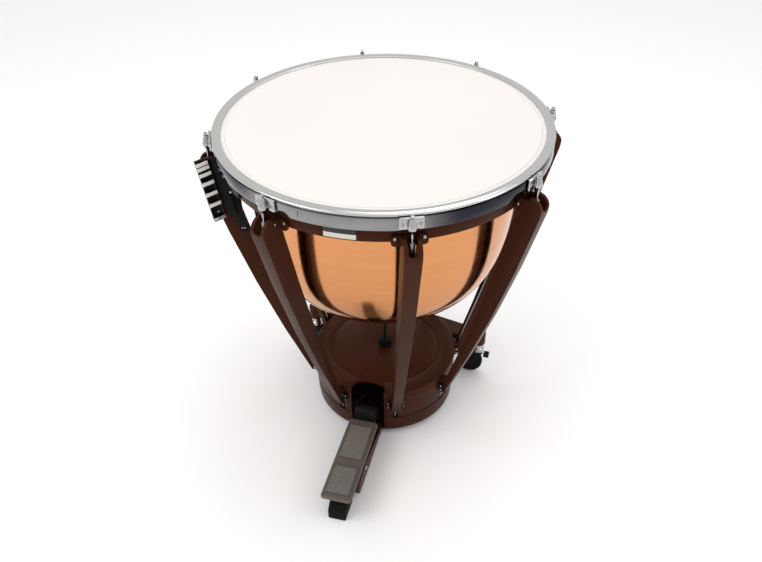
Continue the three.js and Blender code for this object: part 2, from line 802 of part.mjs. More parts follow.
function pedalLever() {
  const leverTop = treadBottom - GAP;
  const barEnd = -leg.end - leg.wall - 12;
  const toe = -pedal.toe;
  const bar = across(
    [
      [barEnd, leverTop],
      [toe - 10, leverTop],
      [toe - 10, leverTop - 10],
      [-pedal.pivotY - 20, pedal.pivotZ - 6],
      [-pedal.pivotY + 20, pedal.pivotZ - 6],
      [barEnd, leverTop - 12],
    ],
    18,
  );
  const eye = crossPin(pedal.axle + 7, 18, pedal.pivotY, pedal.pivotZ, 20);
  const hubFront = toe - GAP;
  const hubMiddle = hubFront - pedal.hubRadius;
  const hubBottom = pedal.linkZ - 14;
  const hub = new THREE.Shape();
  hub.moveTo(hubMiddle - pedal.hubRadius, hubBottom);
  hub.lineTo(toe + 14, hubBottom);
  hub.lineTo(toe + 14, leverTop);
  hub.lineTo(hubFront, leverTop);
  hub.lineTo(hubFront, pedal.hubZ);
  hub.absarc(hubMiddle, pedal.hubZ, pedal.hubRadius, 0, Math.PI, false);
  const block = solid(across(hub, pedal.hubWidth));
  const slotHalf = rocker.stem / 2 + 1.5;
  const tongue = box(
    -slotHalf,
    slotHalf,
    pedal.linkY - 13,
    pedal.linkY + 60,
    hubBottom - 5,
    pedal.linkZ + 16,
  );
  const window = box(
    -pedal.hubWidth,
    pedal.hubWidth,
    pedal.linkY - rocker.pin - 5,
    pedal.linkY + rocker.pin + 2,
    pedal.linkZ - rocker.pin - 1,
    pedal.linkZ + rocker.pin + 1,
  );
  const bore = crossPin(pedal.axle + RUNNING, 30, pedal.pivotY, pedal.pivotZ, 20);
  return union(solid(bar), eye, block).subtract(tongue).subtract(window).subtract(bore);
}

function footboard() {
  const half = pedal.width / 2;
  return raised(
    roundedRectangle(-half, half, pedal.heel, pedal.toe, pedal.corner),
    treadBottom,
    pedal.top,
    2,
  );
}

function treadPad(from, to) {
  const half = pedal.width / 2 - tread.inset;
  return box(-half, half, from, to, pedal.top + GAP, pedal.top + GAP + tread.rise);
}

function frontLeg() {
  const side = [
    [base.radius - 16, leg.bottom],
    [base.radius - 16, leg.toeTop],
    [-pedal.toe, leg.toeTop],
    [-pedal.pivotY - 14, leg.top],
    [-leg.end, leg.top],
    [-leg.end, leg.bottom + 22],
    [-leg.end - 12, leg.bottom],
  ];
  const outer = solid(across(side, 2 * leg.halfWidth));
  const inside = box(
    -leg.halfWidth + leg.wall,
    leg.halfWidth - leg.wall,
    leg.end + leg.wall,
    0,
    leg.bottom + leg.wall,
    leg.top + 10,
  );
  const skirt = cylinder(base.radius + GAP, 0, 0, 0, leg.top + 20, ROUND);
  const bore = crossPin(pedal.axle + RUNNING, leg.halfWidth + 5, pedal.pivotY, pedal.pivotZ, 20);
  return outer.subtract(inside).subtract(skirt).subtract(bore);
}

function frontFoot() {
  const back = leg.end - GAP;
  const outline = [
    [-back, 0],
    [-foot.front, 0],
    [-foot.front, foot.height - foot.nose],
    [-foot.front - foot.nose, foot.height],
    [-back, foot.height],
  ];
  return solid(across(outline, 2 * foot.halfWidth, 1.5));
}

place("pedal_lever", pedalLever(), black);
place("footboard", footboard(), alloy);
place("toe_tread", treadPad(tread.gap + tread.gapWidth / 2, tread.toe), rubber);
place("heel_tread", treadPad(tread.heel, tread.gap - tread.gapWidth / 2), rubber);
place("pedal_axle", crossPin(pedal.axle, leg.halfWidth + 3, pedal.pivotY, pedal.pivotZ, 20), steel);
place("front_leg", frontLeg(), paint);
place("front_foot", frontFoot(), rubber);

// ---- Casters -------------------------------------------------------------------------------------------------------------

function casterFork(side) {
  const x = side * caster.x;
  const wheelX = x - side * caster.trail;
  const crownBottom = 2 * caster.wheel + 4;
  const crownTop = crownBottom + 6;
  const plateOut = caster.tread / 2 + 5;
  const plates = [-1, 1].map((flank) => {
    const near = flank * (caster.tread / 2 + 1.5);
    const far = flank * plateOut;
    const outline = [
      [wheelX - 10, caster.wheel - 9],
      [wheelX + 10, caster.wheel - 9],
      [x + 17, crownTop],
      [x - 17, crownTop],
    ];
    const geometry = new THREE.ExtrudeGeometry(shapeOf(outline), { depth: Math.abs(far - near), bevelEnabled: false });
    geometry.rotateX(Math.PI / 2);
    geometry.translate(0, caster.y + Math.max(near, far), 0);
    return solid(geometry);
  });
  const crown = raised(roundedRectangle(x - 17, x + 17, caster.y - plateOut, caster.y + plateOut, 6), crownBottom, crownTop);
  const collar = revolve(
    [
      [0, crownTop - 1],
      [17, crownTop - 1],
      [17, crownTop + 9],
      [14, crownTop + 11],
      [14, bossBottom - GAP],
      [0, bossBottom - GAP],
    ],
    20,
    x,
    caster.y,
  );
  const stem = cylinder(caster.stem, x, caster.y, bossBottom - 4, arm.top - 10);
  const axle = crossPin(caster.axle, plateOut, 0, caster.wheel)
    .rotate([0, 0, 90])
    .translate([wheelX, caster.y, 0]);
  return union(...plates, crown, collar, stem, axle);
}

function casterWheel(side) {
  const half = caster.tread / 2;
  const bore = caster.axle + RUNNING;
  const wheel = revolve(
    [
      [bore, -half],
      [caster.wheel - 4, -half],
      [caster.wheel, -half + 4],
      [caster.wheel, half - 4],
      [caster.wheel - 4, half],
      [bore, half],
    ],
    20,
  );
  return wheel
    .rotate([90, 0, 0])
    .translate([side * (caster.x - caster.trail), caster.y, caster.wheel]);
}

function casterBrake(side) {
  const start = side * (caster.x + 18);
  const end = side * (caster.x + 34);
  const crownBottom = 2 * caster.wheel + 4;
  return box(
    Math.min(start, end),
    Math.max(start, end),
    caster.y - 12,
    caster.y + 12,
    crownBottom - 14,
    crownBottom - 8,
  );
}

for (const [side, hand] of [
  [1, "right"],
  [-1, "left"],
]) {
  place(`caster_fork_${hand}`, casterFork(side), chrome);
  place(`caster_wheel_${hand}`, casterWheel(side), rubber);
  place(`caster_brake_${hand}`, casterBrake(side), chrome);
}

// ---- Tuning gauge -----------------------------------------------------------------------------------------------------------

// The rail's own frame: X across its face, Y out of its face, Z up along it. Its outer top corner is the origin.
const rail = new THREE.Group();
const railAzimuth = stationAngle(gauge.station) + Math.asin(gauge.beside / gauge.cornerRadius);
rail.position.set(gauge.cornerRadius * Math.sin(railAzimuth), -gauge.cornerRadius * Math.cos(railAzimuth), gauge.top);
rail.rotation.order = "ZYX";
rail.rotation.z = THREE.MathUtils.degToRad(gauge.facing);
rail.rotation.y = -THREE.MathUtils.degToRad(gauge.lean);
root.add(rail);

function gaugeRail() {
  const back = box(0, gauge.width, gauge.depth - gauge.wall, gauge.depth, -gauge.length, 0);
  const sides = [0, gauge.width - gauge.wall].map((x) => box(x, x + gauge.wall, 0, gauge.depth, -gauge.length, 0));
  const ends = [-gauge.wall, -gauge.length].map((z) => box(0, gauge.width, 0, gauge.depth, z, z + gauge.wall));
  return union(back, ...sides, ...ends);
}

function noteMarker(share) {
  const centre = -share * gauge.length;
  const left = (gauge.width - marker.width) / 2 + 1.5;
  const lower = centre - marker.height / 2;
  const upper = centre + marker.height / 2;
  const face = box(left - 3, left + marker.width, -marker.thickness - GAP, -GAP, lower, upper);
  const tongue = box(
    gauge.wall + GAP,
    gauge.wall + GAP + 7,
    -GAP - 0.5,
    gauge.depth - gauge.wall - GAP,
    lower + 2,
    upper - 2,
  );
  return face.add(tongue);
}

function gaugePointer() {
  const centre = -gauge.wall - GAP - 2;
  const right = gauge.width - gauge.wall - GAP;
  return box(right - 9, right, 2, gauge.depth - gauge.wall - GAP, centre - 2, centre + 2);
}

place("gauge_rail", gaugeRail(), steel, rail);
marker.at.forEach((share, index) => place(`note_marker_${index + 1}`, noteMarker(share), white, rail));
place("gauge_pointer", gaugePointer(), red, rail);

// The bracket hugs the bowl ring, reaches round the rail's edge to its back, and has a plate beside it.
function gaugeBracket() {
  const inner = ringOuter + GAP;
  const outer = inner + bracket.thickness;
  const start = stationAngle(gauge.station) - Math.PI / 2;
  const from = start + Math.asin(bracket.from / outer);
  const to = start + Math.asin(bracket.to / outer);
  const band = new THREE.Shape();
  band.absarc(0, 0, outer, from, to, false);
  band.absarc(0, 0, inner, to, from, true);
  const low = ringBottom + 4;
  const high = ringTop - 6;
  const facing = THREE.MathUtils.degToRad(gauge.facing);
  const beside = (x, y) => [
    rail.position.x + x * Math.cos(facing) - y * Math.sin(facing),
    rail.position.y + x * Math.sin(facing) + y * Math.cos(facing),
  ];
  const onBand = (angle) => [(outer - 0.5) * Math.cos(angle), (outer - 0.5) * Math.sin(angle)];
  const edge = gauge.width + Math.sin(THREE.MathUtils.degToRad(gauge.lean)) * (gauge.top - low);
  const back = gauge.depth + GAP;
  const reach = [
    beside(edge - 28, back),
    beside(edge + 0.5, back),
    onBand(from + bracket.thickness / 100),
    onBand(from),
    beside(edge + 2, back + bracket.thickness - 1),
    beside(edge - 28, back + bracket.thickness - 1),
  ];
  const inside = bracket.plateOffset;
  const outline = bracket.plate.map(([beyond, above]) => [hoop.outer + beyond, hoop.top + above]);
  const middle = inside + bracket.thickness / 2;
  const side = solid(across(outline, bracket.thickness)).translate([middle, 0, 0]);
  const bridge = box(
    inside,
    bracket.bridge.reach,
    -hoop.outer - bracket.bridge.to,
    -hoop.outer - bracket.bridge.from,
    hoop.top + bracket.bridge.low,
    hoop.top + bracket.bridge.high,
  );
  const besideStrut = side.add(bridge).rotate([0, 0, THREE.MathUtils.radToDeg(stationAngle(gauge.station))]);
  return union(raised(band, low, high), raised(reach, low, high), besideStrut);
}

// A short tube on the bracket's plate, where the cable from the base enters.
function gaugeTube() {
  const station = stationAngle(gauge.station);
  const sideways = bracket.plateOffset + bracket.thickness + GAP + gauge.tube;
  const point = ({ radius, below }) =>
    new THREE.Vector3(
      radius * Math.sin(station) + sideways * Math.cos(station),
      -radius * Math.cos(station) + sideways * Math.sin(station),
      hoop.top - below,
    );
  return rodBetween(gauge.tube, point(gauge.tubeTop), point(gauge.tubeBottom), 12);
}

place("gauge_bracket", gaugeBracket(), black);
place("gauge_tube", gaugeTube(), black);

// ---- Nameplate (blank) --------------------------------------------------------------------------------------------------------

function nameplate() {
  const half = plate.width / 2;
  const middle = THREE.MathUtils.degToRad(plate.azimuth - 90);
  const inner = ringOuter + GAP;
  const spread = half / inner;
  const shape = new THREE.Shape();
  shape.absarc(0, 0, inner + plate.thickness, middle - spread, middle + spread, false);
  shape.absarc(0, 0, inner, middle + spread, middle - spread, true);
  const low = ringTop - 1 - plate.height;
  return raised(shape, low, low + plate.height);
}

place("nameplate", nameplate(), alloy);

// ---- Origin: centre of the box, on the floor -----------------------------------------------------------------------------------

const whole = new THREE.Group();
whole.add(root);
whole.updateMatrixWorld(true);
const bounds = new THREE.Box3().setFromObject(root, true);
const centre = bounds.getCenter(new THREE.Vector3());
root.position.set(-centre.x, -centre.y, -bounds.min.z);

export default whole;
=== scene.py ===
"""Pedal timpani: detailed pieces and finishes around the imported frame.

Metres, +Z up. Pieces are modelled about the drum axis, with the player on the -Y side, and are then
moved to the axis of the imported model.
"""

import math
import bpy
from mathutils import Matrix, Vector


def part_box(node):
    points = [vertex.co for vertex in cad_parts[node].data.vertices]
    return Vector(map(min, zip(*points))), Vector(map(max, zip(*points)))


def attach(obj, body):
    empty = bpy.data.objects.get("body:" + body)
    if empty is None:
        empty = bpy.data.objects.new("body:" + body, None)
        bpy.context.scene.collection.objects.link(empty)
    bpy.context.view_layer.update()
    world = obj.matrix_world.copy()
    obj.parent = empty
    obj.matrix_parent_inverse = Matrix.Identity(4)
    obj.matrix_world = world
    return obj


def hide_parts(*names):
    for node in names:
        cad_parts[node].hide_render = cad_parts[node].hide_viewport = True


bl_info = {
    "name": "Pedal Timpani",
    "version": (1, 0, 0),
    "blender": (4, 5, 0),
    "location": "View3D > Sidebar > Timpani",
    "description": "Pieces and finishes of a copper pedal timpani, around its packed frame",
    "category": "Object",
}

import bmesh
import bpy
from bpy.props import FloatProperty, FloatVectorProperty, IntProperty, PointerProperty
from mathutils import Matrix, Vector

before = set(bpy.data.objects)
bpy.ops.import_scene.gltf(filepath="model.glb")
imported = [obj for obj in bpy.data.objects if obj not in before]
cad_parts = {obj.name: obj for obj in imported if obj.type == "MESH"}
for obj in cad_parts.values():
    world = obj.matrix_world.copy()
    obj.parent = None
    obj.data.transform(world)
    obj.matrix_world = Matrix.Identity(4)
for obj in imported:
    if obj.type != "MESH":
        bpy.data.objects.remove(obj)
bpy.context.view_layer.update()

STATIONS = 8
STATION_STEP = 360 / STATIONS

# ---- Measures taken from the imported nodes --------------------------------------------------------


def top_of(node):
    """The height of a node's top."""
    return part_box(node)[1][2]


def bottom_of(node):
    """The height of a node's underside."""
    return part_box(node)[0][2]


def half_width(node):
    """Half of a node's width along X."""
    low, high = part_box(node)
    return (high[0] - low[0]) / 2


def middle_of(node):
    """The middle of a node's box."""
    low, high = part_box(node)
    return Vector([(a + b) / 2 for a, b in zip(low, high)])


AXIS = Vector((middle_of("counterhoop").x, middle_of("counterhoop").y, 0))
HOOP_TOP = top_of("counterhoop")
HOOP_BOTTOM = bottom_of("counterhoop")
HOOP_RADIUS = half_width("counterhoop")
HOOP_INNER = HOOP_RADIUS - 0.021
HEAD_TOP = top_of("head_membrane")
RING_TOP = top_of("bowl_ring")
RING_BOTTOM = bottom_of("bowl_ring")
RING_RADIUS = half_width("bowl_ring")
BOWL_TOP = top_of("bowl")
BOWL_BOTTOM = bottom_of("bowl")
BOWL_RIM = HOOP_RADIUS - 0.0315
BOWL_BODY = HOOP_RADIUS - 0.061
BOWL_WALL = 0.002
BOWL_COLLAR = BOWL_TOP - 0.058
BOWL_WAIST = BOWL_TOP - 0.090
BOWL_TAPER = 0.076
BOWL_ROUNDNESS = 3.76
BOWL_FULLNESS = 5
LID_TOP = top_of("base_lid")
LID_BOTTOM = bottom_of("base_lid")
LID_RADIUS = half_width("base_lid")
SCREW_RADIUS = HOOP_RADIUS + 0.012


# ---- Modelling helpers ---------------------------------------------------------------------------


def clear_selection():
    """Leaves edit mode and selects nothing."""
    active = bpy.context.view_layer.objects.active
    if active and active.mode != "OBJECT":
        bpy.ops.object.mode_set(mode="OBJECT")
    bpy.ops.object.select_all(action="DESELECT")


def choose(*pieces):
    """Selects the pieces and makes the first one active."""
    clear_selection()
    for piece in pieces:
        piece.select_set(True)
    bpy.context.view_layer.objects.active = pieces[0]


def edit(piece):
    """Opens a piece in edit mode with all its vertices selected."""
    choose(piece)
    bpy.ops.object.mode_set(mode="EDIT")
    bpy.ops.mesh.select_mode(type="VERT")
    bpy.ops.mesh.select_all(action="SELECT")


def leave_edit():
    """Goes back to object mode."""
    bpy.ops.object.mode_set(mode="OBJECT")


def traced(name, points):
    """A chain of edges, made by extruding one vertex from point to point."""
    clear_selection()
    bpy.ops.mesh.primitive_plane_add(size=0.001, location=(0, 0, 0), enter_editmode=True)
    piece = bpy.context.object
    piece.name = name
    bpy.ops.mesh.select_mode(type="VERT")
    bpy.ops.mesh.select_all(action="SELECT")
    bpy.ops.mesh.merge(type="CENTER")
    bpy.ops.transform.translate(value=Vector(points[0]))
    for here, there in zip(points, points[1:]):
        step = Vector(there) - Vector(here)
        bpy.ops.mesh.extrude_region_move(TRANSFORM_OT_translate={"value": step})
    return piece


def turned(name, outline, sides=96, centre=(0, 0, 0), axis=(0, 0, 1), closed=True):
    """A solid of revolution from (radius, height) points along an axis."""
    axis = Vector(axis).normalized()
    outward = Vector((1, 0, 0)) if abs(axis.x) < 0.5 else Vector((0, 0, 1))
    centre = Vector(centre)
    points = [centre + outward * radius + axis * height for radius, height in outline]
    if closed:
        points.append(points[0])
    piece = traced(name, points)
    bpy.ops.mesh.select_all(action="SELECT")
    bpy.ops.mesh.spin(steps=sides, angle=2 * math.pi, center=centre, axis=axis)
    bpy.ops.mesh.select_all(action="SELECT")
    bpy.ops.mesh.remove_doubles(threshold=0.000005)
    bpy.ops.mesh.normals_make_consistent(inside=False)
    leave_edit()
    return piece


def slab(name, points, depth):
    """A flat outline of points, extruded by a vector."""
    piece = traced(name, points)
    bpy.ops.mesh.select_all(action="SELECT")
    bpy.ops.mesh.edge_face_add()
    bpy.ops.mesh.extrude_region_move(TRANSFORM_OT_translate={"value": Vector(depth)})
    bpy.ops.mesh.select_all(action="SELECT")
    bpy.ops.mesh.normals_make_consistent(inside=False)
    leave_edit()
    return piece


def block(name, low, high):
    """A box between two corners, drawn as a face and extruded."""
    (x0, y0, z0), (x1, y1, z1) = low, high
    face = [(x0, y0, z0), (x1, y0, z0), (x1, y1, z0), (x0, y1, z0)]
    return slab(name, face, (0, 0, z1 - z0))


def rounded_face(half_wide, low, high, corner, y, steps=4):
    """Points of a rounded rectangle in the plane at y, across X and up Z."""
    points = []
    corners = (
        (half_wide - corner, low + corner, -90),
        (half_wide - corner, high - corner, 0),
        (-half_wide + corner, high - corner, 90),
        (-half_wide + corner, low + corner, 180),
    )
    for x, z, start in corners:
        for step in range(steps + 1):
            turn = math.radians(start + 90 * step / steps)
            points.append((x + corner * math.cos(turn), y, z + corner * math.sin(turn)))
    return points


def softened(piece, width, segments=2, angle=30):
    """Rounds the sharp edges of a piece."""
    choose(piece)
    bpy.context.view_layer.update()
    bevel = piece.modifiers.new("soft_edges", "BEVEL")
    bevel.width = width
    bevel.segments = segments
    bevel.limit_method = "ANGLE"
    bevel.angle_limit = math.radians(angle)
    bevel.harden_normals = False
    bpy.ops.object.modifier_apply(modifier=bevel.name)
    return piece


def cut(piece, cutter):
    """Takes the cutter out of the piece."""
    own_faces = len(piece.data.polygons)
    joined(piece.name, piece, cutter)
    edit(piece)
    bpy.ops.mesh.select_mode(type="FACE")
    bpy.ops.mesh.select_all(action="DESELECT")
    leave_edit()
    for face in piece.data.polygons[own_faces:]:
        face.select = True
    bpy.ops.object.mode_set(mode="EDIT")
    bpy.ops.mesh.intersect_boolean(operation="DIFFERENCE", solver="EXACT")
    leave_edit()


def joined(name, *pieces):
    """Joins the pieces into the first one and names it."""
    choose(*pieces)
    if len(pieces) > 1:
        bpy.ops.object.join()
    pieces[0].name = name
    return pieces[0]


def repeated(piece, count, offset):
    """Rows of the same shape."""
    choose(piece)
    bpy.context.view_layer.update()
    row = piece.modifiers.new("row", "ARRAY")
    row.count = count
    row.use_relative_offset = False
    row.use_constant_offset = True
    row.constant_offset_displace = offset
    bpy.ops.object.modifier_apply(modifier=row.name)


def copied(piece, name, matrix):
    """A moved copy of a piece, with a mesh of its own."""
    twin = bpy.data.objects.new(name, piece.data.copy())
    bpy.context.scene.collection.objects.link(twin)
    twin.data.transform(matrix)
    return twin


def turn(degrees):
    """A turn about the drum axis."""
    return Matrix.Rotation(math.radians(degrees), 4, "Z")


def station_angle(index):
    """The angle of a strut, counted from the front."""
    return (index - 0.5) * STATION_STEP


def recast(node, name, width=0.0006, segments=2, angle=30):
    """A node's shape with its facets merged and its edges rounded, about the drum axis."""
    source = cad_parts[node]
    piece = bpy.data.objects.new(name, source.data.copy())
    bpy.context.scene.collection.objects.link(piece)
    piece.data.materials.clear()
    piece.data.transform(Matrix.Translation(-AXIS))
    edit(piece)
    bpy.ops.mesh.remove_doubles(threshold=0.000002)
    bpy.ops.mesh.dissolve_limited(angle_limit=math.radians(0.4))
    leave_edit()
    if width:
        softened(piece, width, segments, angle)
    return piece


def place(piece, body, finish, *nodes, slot=None, smooth=32):
    """Moves a piece to the drum's axis, gives it its finish and lets it ride on its body."""
    piece.data.transform(Matrix.Translation(AXIS))
    if not piece.data.materials:
        piece.data.materials.append(finish)
    choose(piece)
    bpy.ops.object.shade_smooth_by_angle(angle=math.radians(smooth))
    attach(piece, body)
    if nodes:
        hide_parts(*nodes)


def place_recast(segments, rows):
    """Recasts and places nodes from rows of node, body, rounding, and finish."""
    for node, body, width, finish in rows:
        piece = recast(node, node + "_cast", width, segments)
        place(piece, body, finishes[finish], node, slot=finish)


def painted(piece, finish, other, test):
    """Gives the faces that pass the test another finish."""
    piece.data.materials.clear()
    piece.data.materials.append(finish)
    piece.data.materials.append(other)
    for face in piece.data.polygons:
        face.material_index = 1 if test(face.center, face.normal) else 0


# ---- Finishes ------------------------------------------------------------------------------------


def surface_group():
    """Slow colour patches, roughness that varies and a fine grain, on Object coordinates."""
    name = "Worn Surface"
    if name in bpy.data.node_groups:
        return bpy.data.node_groups[name]
    group = bpy.data.node_groups.new(name, "ShaderNodeTree")
    interface = group.interface
    for label, kind, default in (
        ("Colour", "NodeSocketColor", (0.5, 0.5, 0.5, 1)),
        ("Patch Colour", "NodeSocketColor", (0.4, 0.4, 0.4, 1)),
        ("Patch Scale", "NodeSocketFloat", 6.0),
        ("Patch Amount", "NodeSocketFloat", 0.5),
        ("Stretch", "NodeSocketVector", (1, 1, 1)),
        ("Grain Scale", "NodeSocketFloat", 400.0),
        ("Grain Height", "NodeSocketFloat", 0.2),
        ("Smoothest", "NodeSocketFloat", 0.3),
        ("Roughest", "NodeSocketFloat", 0.5),
    ):
        socket = interface.new_socket(name=label, in_out="INPUT", socket_type=kind)
        socket.default_value = default
    interface.new_socket(name="Colour", in_out="OUTPUT", socket_type="NodeSocketColor")
    interface.new_socket(name="Roughness", in_out="OUTPUT", socket_type="NodeSocketFloat")
    interface.new_socket(name="Normal", in_out="OUTPUT", socket_type="NodeSocketVector")
    nodes, links = group.nodes, group.links
    given = nodes.new("NodeGroupInput")
    result = nodes.new("NodeGroupOutput")
    coordinates = nodes.new("ShaderNodeTexCoord")
    mapping = nodes.new("ShaderNodeMapping")
    links.new(coordinates.outputs["Object"], mapping.inputs["Vector"])
    links.new(given.outputs["Stretch"], mapping.inputs["Scale"])
    patches = nodes.new("ShaderNodeTexNoise")
    patches.inputs["Detail"].default_value = 5
    grain = nodes.new("ShaderNodeTexNoise")
    grain.inputs["Detail"].default_value = 3
    for noise, scale in ((patches, "Patch Scale"), (grain, "Grain Scale")):
        links.new(mapping.outputs["Vector"], noise.inputs["Vector"])
        links.new(given.outputs[scale], noise.inputs["Scale"])
    spread = nodes.new("ShaderNodeMapRange")
    spread.inputs["From Min"].default_value = 0.35
    spread.inputs["From Max"].default_value = 0.65
    links.new(patches.outputs["Fac"], spread.inputs["Value"])
    links.new(given.outputs["Patch Amount"], spread.inputs["To Max"])
    blend = nodes.new("ShaderNodeMix")
    blend.data_type = "RGBA"
    links.new(spread.outputs["Result"], blend.inputs["Factor"])
    links.new(given.outputs["Colour"], blend.inputs["A"])
    links.new(given.outputs["Patch Colour"], blend.inputs["B"])
    rough = nodes.new("ShaderNodeMapRange")
    rough.inputs["From Min"].default_value = 0.3
    rough.inputs["From Max"].default_value = 0.7
    links.new(patches.outputs["Fac"], rough.inputs["Value"])
    links.new(given.outputs["Smoothest"], rough.inputs["To Min"])
    links.new(given.outputs["Roughest"], rough.inputs["To Max"])
    bump = nodes.new("ShaderNodeBump")
    bump.inputs["Distance"].default_value = 0.0004
    links.new(given.outputs["Grain Height"], bump.inputs["Strength"])
    links.new(grain.outputs["Fac"], bump.inputs["Height"])
    links.new(blend.outputs["Result"], result.inputs["Colour"])
    links.new(rough.outputs["Result"], result.inputs["Roughness"])
    links.new(bump.outputs["Normal"], result.inputs["Normal"])
    return group


def socket_of(sockets, name):
    """The enabled socket of that name, as a Mix node has several."""
    return next(socket for socket in sockets if socket.name == name and socket.enabled)


def made_finish(
    name, colour, patch, metallic=0.0, rough=(0.3, 0.45), grain=(400.0, 0.15),
    patches=(6.0, 0.5), stretch=(1, 1, 1), specular=0.5, tint=(1, 1, 1),
):
    """A material with patches and grain, each given as a scale and an amount."""
    material = bpy.data.materials.new(name)
    material.use_nodes = True
    nodes, links = material.node_tree.nodes, material.node_tree.links
    shader = nodes["Principled BSDF"]
    surface = nodes.new("ShaderNodeGroup")
    surface.node_tree = surface_group()
    surface.inputs["Colour"].default_value = (*colour, 1)
    surface.inputs["Patch Colour"].default_value = (*patch, 1)
    surface.inputs["Patch Scale"].default_value = patches[0]
    surface.inputs["Patch Amount"].default_value = patches[1]
    surface.inputs["Stretch"].default_value = stretch
    surface.inputs["Grain Scale"].default_value = grain[0]
    surface.inputs["Grain Height"].default_value = grain[1]
    surface.inputs["Smoothest"].default_value = rough[0]
    surface.inputs["Roughest"].default_value = rough[1]
    links.new(surface.outputs["Colour"], shader.inputs["Base Color"])
    links.new(surface.outputs["Roughness"], shader.inputs["Roughness"])
    links.new(surface.outputs["Normal"], shader.inputs["Normal"])
    shader.inputs["Metallic"].default_value = metallic
    shader.inputs["Specular IOR Level"].default_value = specular
    shader.inputs["Specular Tint"].default_value = (*tint, 1)
    return material


def position_along(material, axis):
    """The output that gives a position along one axis, on Object coordinates."""
    nodes, links = material.node_tree.nodes, material.node_tree.links
    coordinates = nodes.new("ShaderNodeTexCoord")
    split = nodes.new("ShaderNodeSeparateXYZ")
    links.new(coordinates.outputs["Object"], split.inputs["Vector"])
    return split.outputs[axis]


def overlaid(material, mask, colour):
    """Mixes a colour over the surface's own where the mask is high."""
    nodes, links = material.node_tree.nodes, material.node_tree.links
    surface = next(node for node in nodes if node.type == "GROUP")
    taken = surface.outputs["Colour"].links[0].to_socket
    blend = nodes.new("ShaderNodeMix")
    blend.data_type = "RGBA"
    socket_of(blend.inputs, "B").default_value = (*colour, 1)
    links.new(mask, socket_of(blend.inputs, "Factor"))
    links.new(surface.outputs["Colour"], socket_of(blend.inputs, "A"))
    links.new(socket_of(blend.outputs, "Result"), taken)


def two_tone_and_painted_top_sheen(material, height, colour, metallic):
    """Above a height the surface takes another colour: a real second colour on the nameplate, a
    painted reflection on the hoop's top.
    """
    nodes, links = material.node_tree.nodes, material.node_tree.links
    shader = nodes["Principled BSDF"]
    above = nodes.new("ShaderNodeMath")
    above.operation = "GREATER_THAN"
    above.inputs[1].default_value = height
    links.new(position_along(material, "Z"), above.inputs[0])
    overlaid(material, above.outputs[0], colour)
    shine = nodes.new("ShaderNodeMapRange")
    shine.inputs["To Min"].default_value = shader.inputs["Metallic"].default_value
    shine.inputs["To Max"].default_value = metallic
    links.new(above.outputs[0], shine.inputs["Value"])
    links.new(shine.outputs["Result"], shader.inputs["Metallic"])


def painted_dark_flank_reflection(material, near, far, colour):
    """Painted reflection: the surface darkens towards both sides of the drum, as a chrome band
    between dark walls mirrors them.
    """
    nodes, links = material.node_tree.nodes, material.node_tree.links
    aside = nodes.new("ShaderNodeMath")
    aside.operation = "ABSOLUTE"
    fade = nodes.new("ShaderNodeMapRange")
    fade.interpolation_type = "SMOOTHSTEP"
    fade.inputs["From Min"].default_value = near
    fade.inputs["From Max"].default_value = far
    links.new(position_along(material, "X"), aside.inputs[0])
    links.new(aside.outputs[0], fade.inputs["Value"])
    overlaid(material, fade.outputs["Result"], colour)


# Key, material name, metallic, specular, colour, patch colour, smoothest and roughest, and the
# grain's scale and height.
PLAIN_FINISHES = (
    ("chrome", "Chrome", 1.0, 0.5,
     (0.46, 0.46, 0.45), (0.38, 0.38, 0.38), (0.07, 0.14), (700, 0.03)),
    ("satin_chrome", "Satin chrome", 1.0, 0.5,
     (0.40, 0.40, 0.39), (0.34, 0.34, 0.34), (0.20, 0.30), (500, 0.08)),
    ("steel", "Steel", 1.0, 0.5,
     (0.42, 0.42, 0.41), (0.34, 0.34, 0.34), (0.28, 0.42), (600, 0.15)),
    ("black_metal", "Black painted metal", 0.0, 0.07,
     (0.006, 0.006, 0.0065), (0.010, 0.010, 0.010), (0.32, 0.48), (800, 0.15)),
    ("black_plastic", "Black plastic", 0.0, 0.07,
     (0.005, 0.005, 0.0055), (0.009, 0.009, 0.009), (0.25, 0.40), (1200, 0.08)),
    ("rubber", "Black rubber", 0.0, 0.07,
     (0.006, 0.0055, 0.005), (0.012, 0.011, 0.010), (0.6, 0.8), (1500, 0.35)),
    ("alloy", "Cast grey alloy", 0.35, 0.5,
     (0.125, 0.105, 0.092), (0.095, 0.080, 0.070), (0.42, 0.6), (900, 0.35)),
    # The treads' flat between the studs is painted dark as shade; the stud tops carry the rubber's
    # own grey.
    ("pad", "Tread rubber in painted shade", 0.0, 0.5,
     (0.075, 0.068, 0.058), (0.060, 0.054, 0.046), (0.55, 0.75), (1400, 0.3)),
    ("stud", "Tread rubber on stud tops", 0.0, 0.5,
     (0.27, 0.25, 0.215), (0.22, 0.205, 0.175), (0.5, 0.7), (1400, 0.3)),
    ("white", "White marker plastic", 0.0, 0.5,
     (0.80, 0.79, 0.75), (0.72, 0.71, 0.67), (0.35, 0.5), (1500, 0.06)),
    ("red", "Red pointer plastic", 0.0, 0.5,
     (0.55, 0.03, 0.02), (0.45, 0.02, 0.02), (0.3, 0.45), (1500, 0.06)),
    ("plate", "Blank nameplate", 0.85, 0.5,
     (0.62, 0.60, 0.54), (0.55, 0.53, 0.48), (0.22, 0.34), (900, 0.05)),
)
NAMEPLATE_SPLIT = bottom_of("nameplate") + 0.38 * (top_of("nameplate") - bottom_of("nameplate"))
# The height above which the hoop's top carries a painted reflection, lighter than its band.
HOOP_PAINTED_SHEEN_LINE = HOOP_TOP - 0.0045

finishes = {}


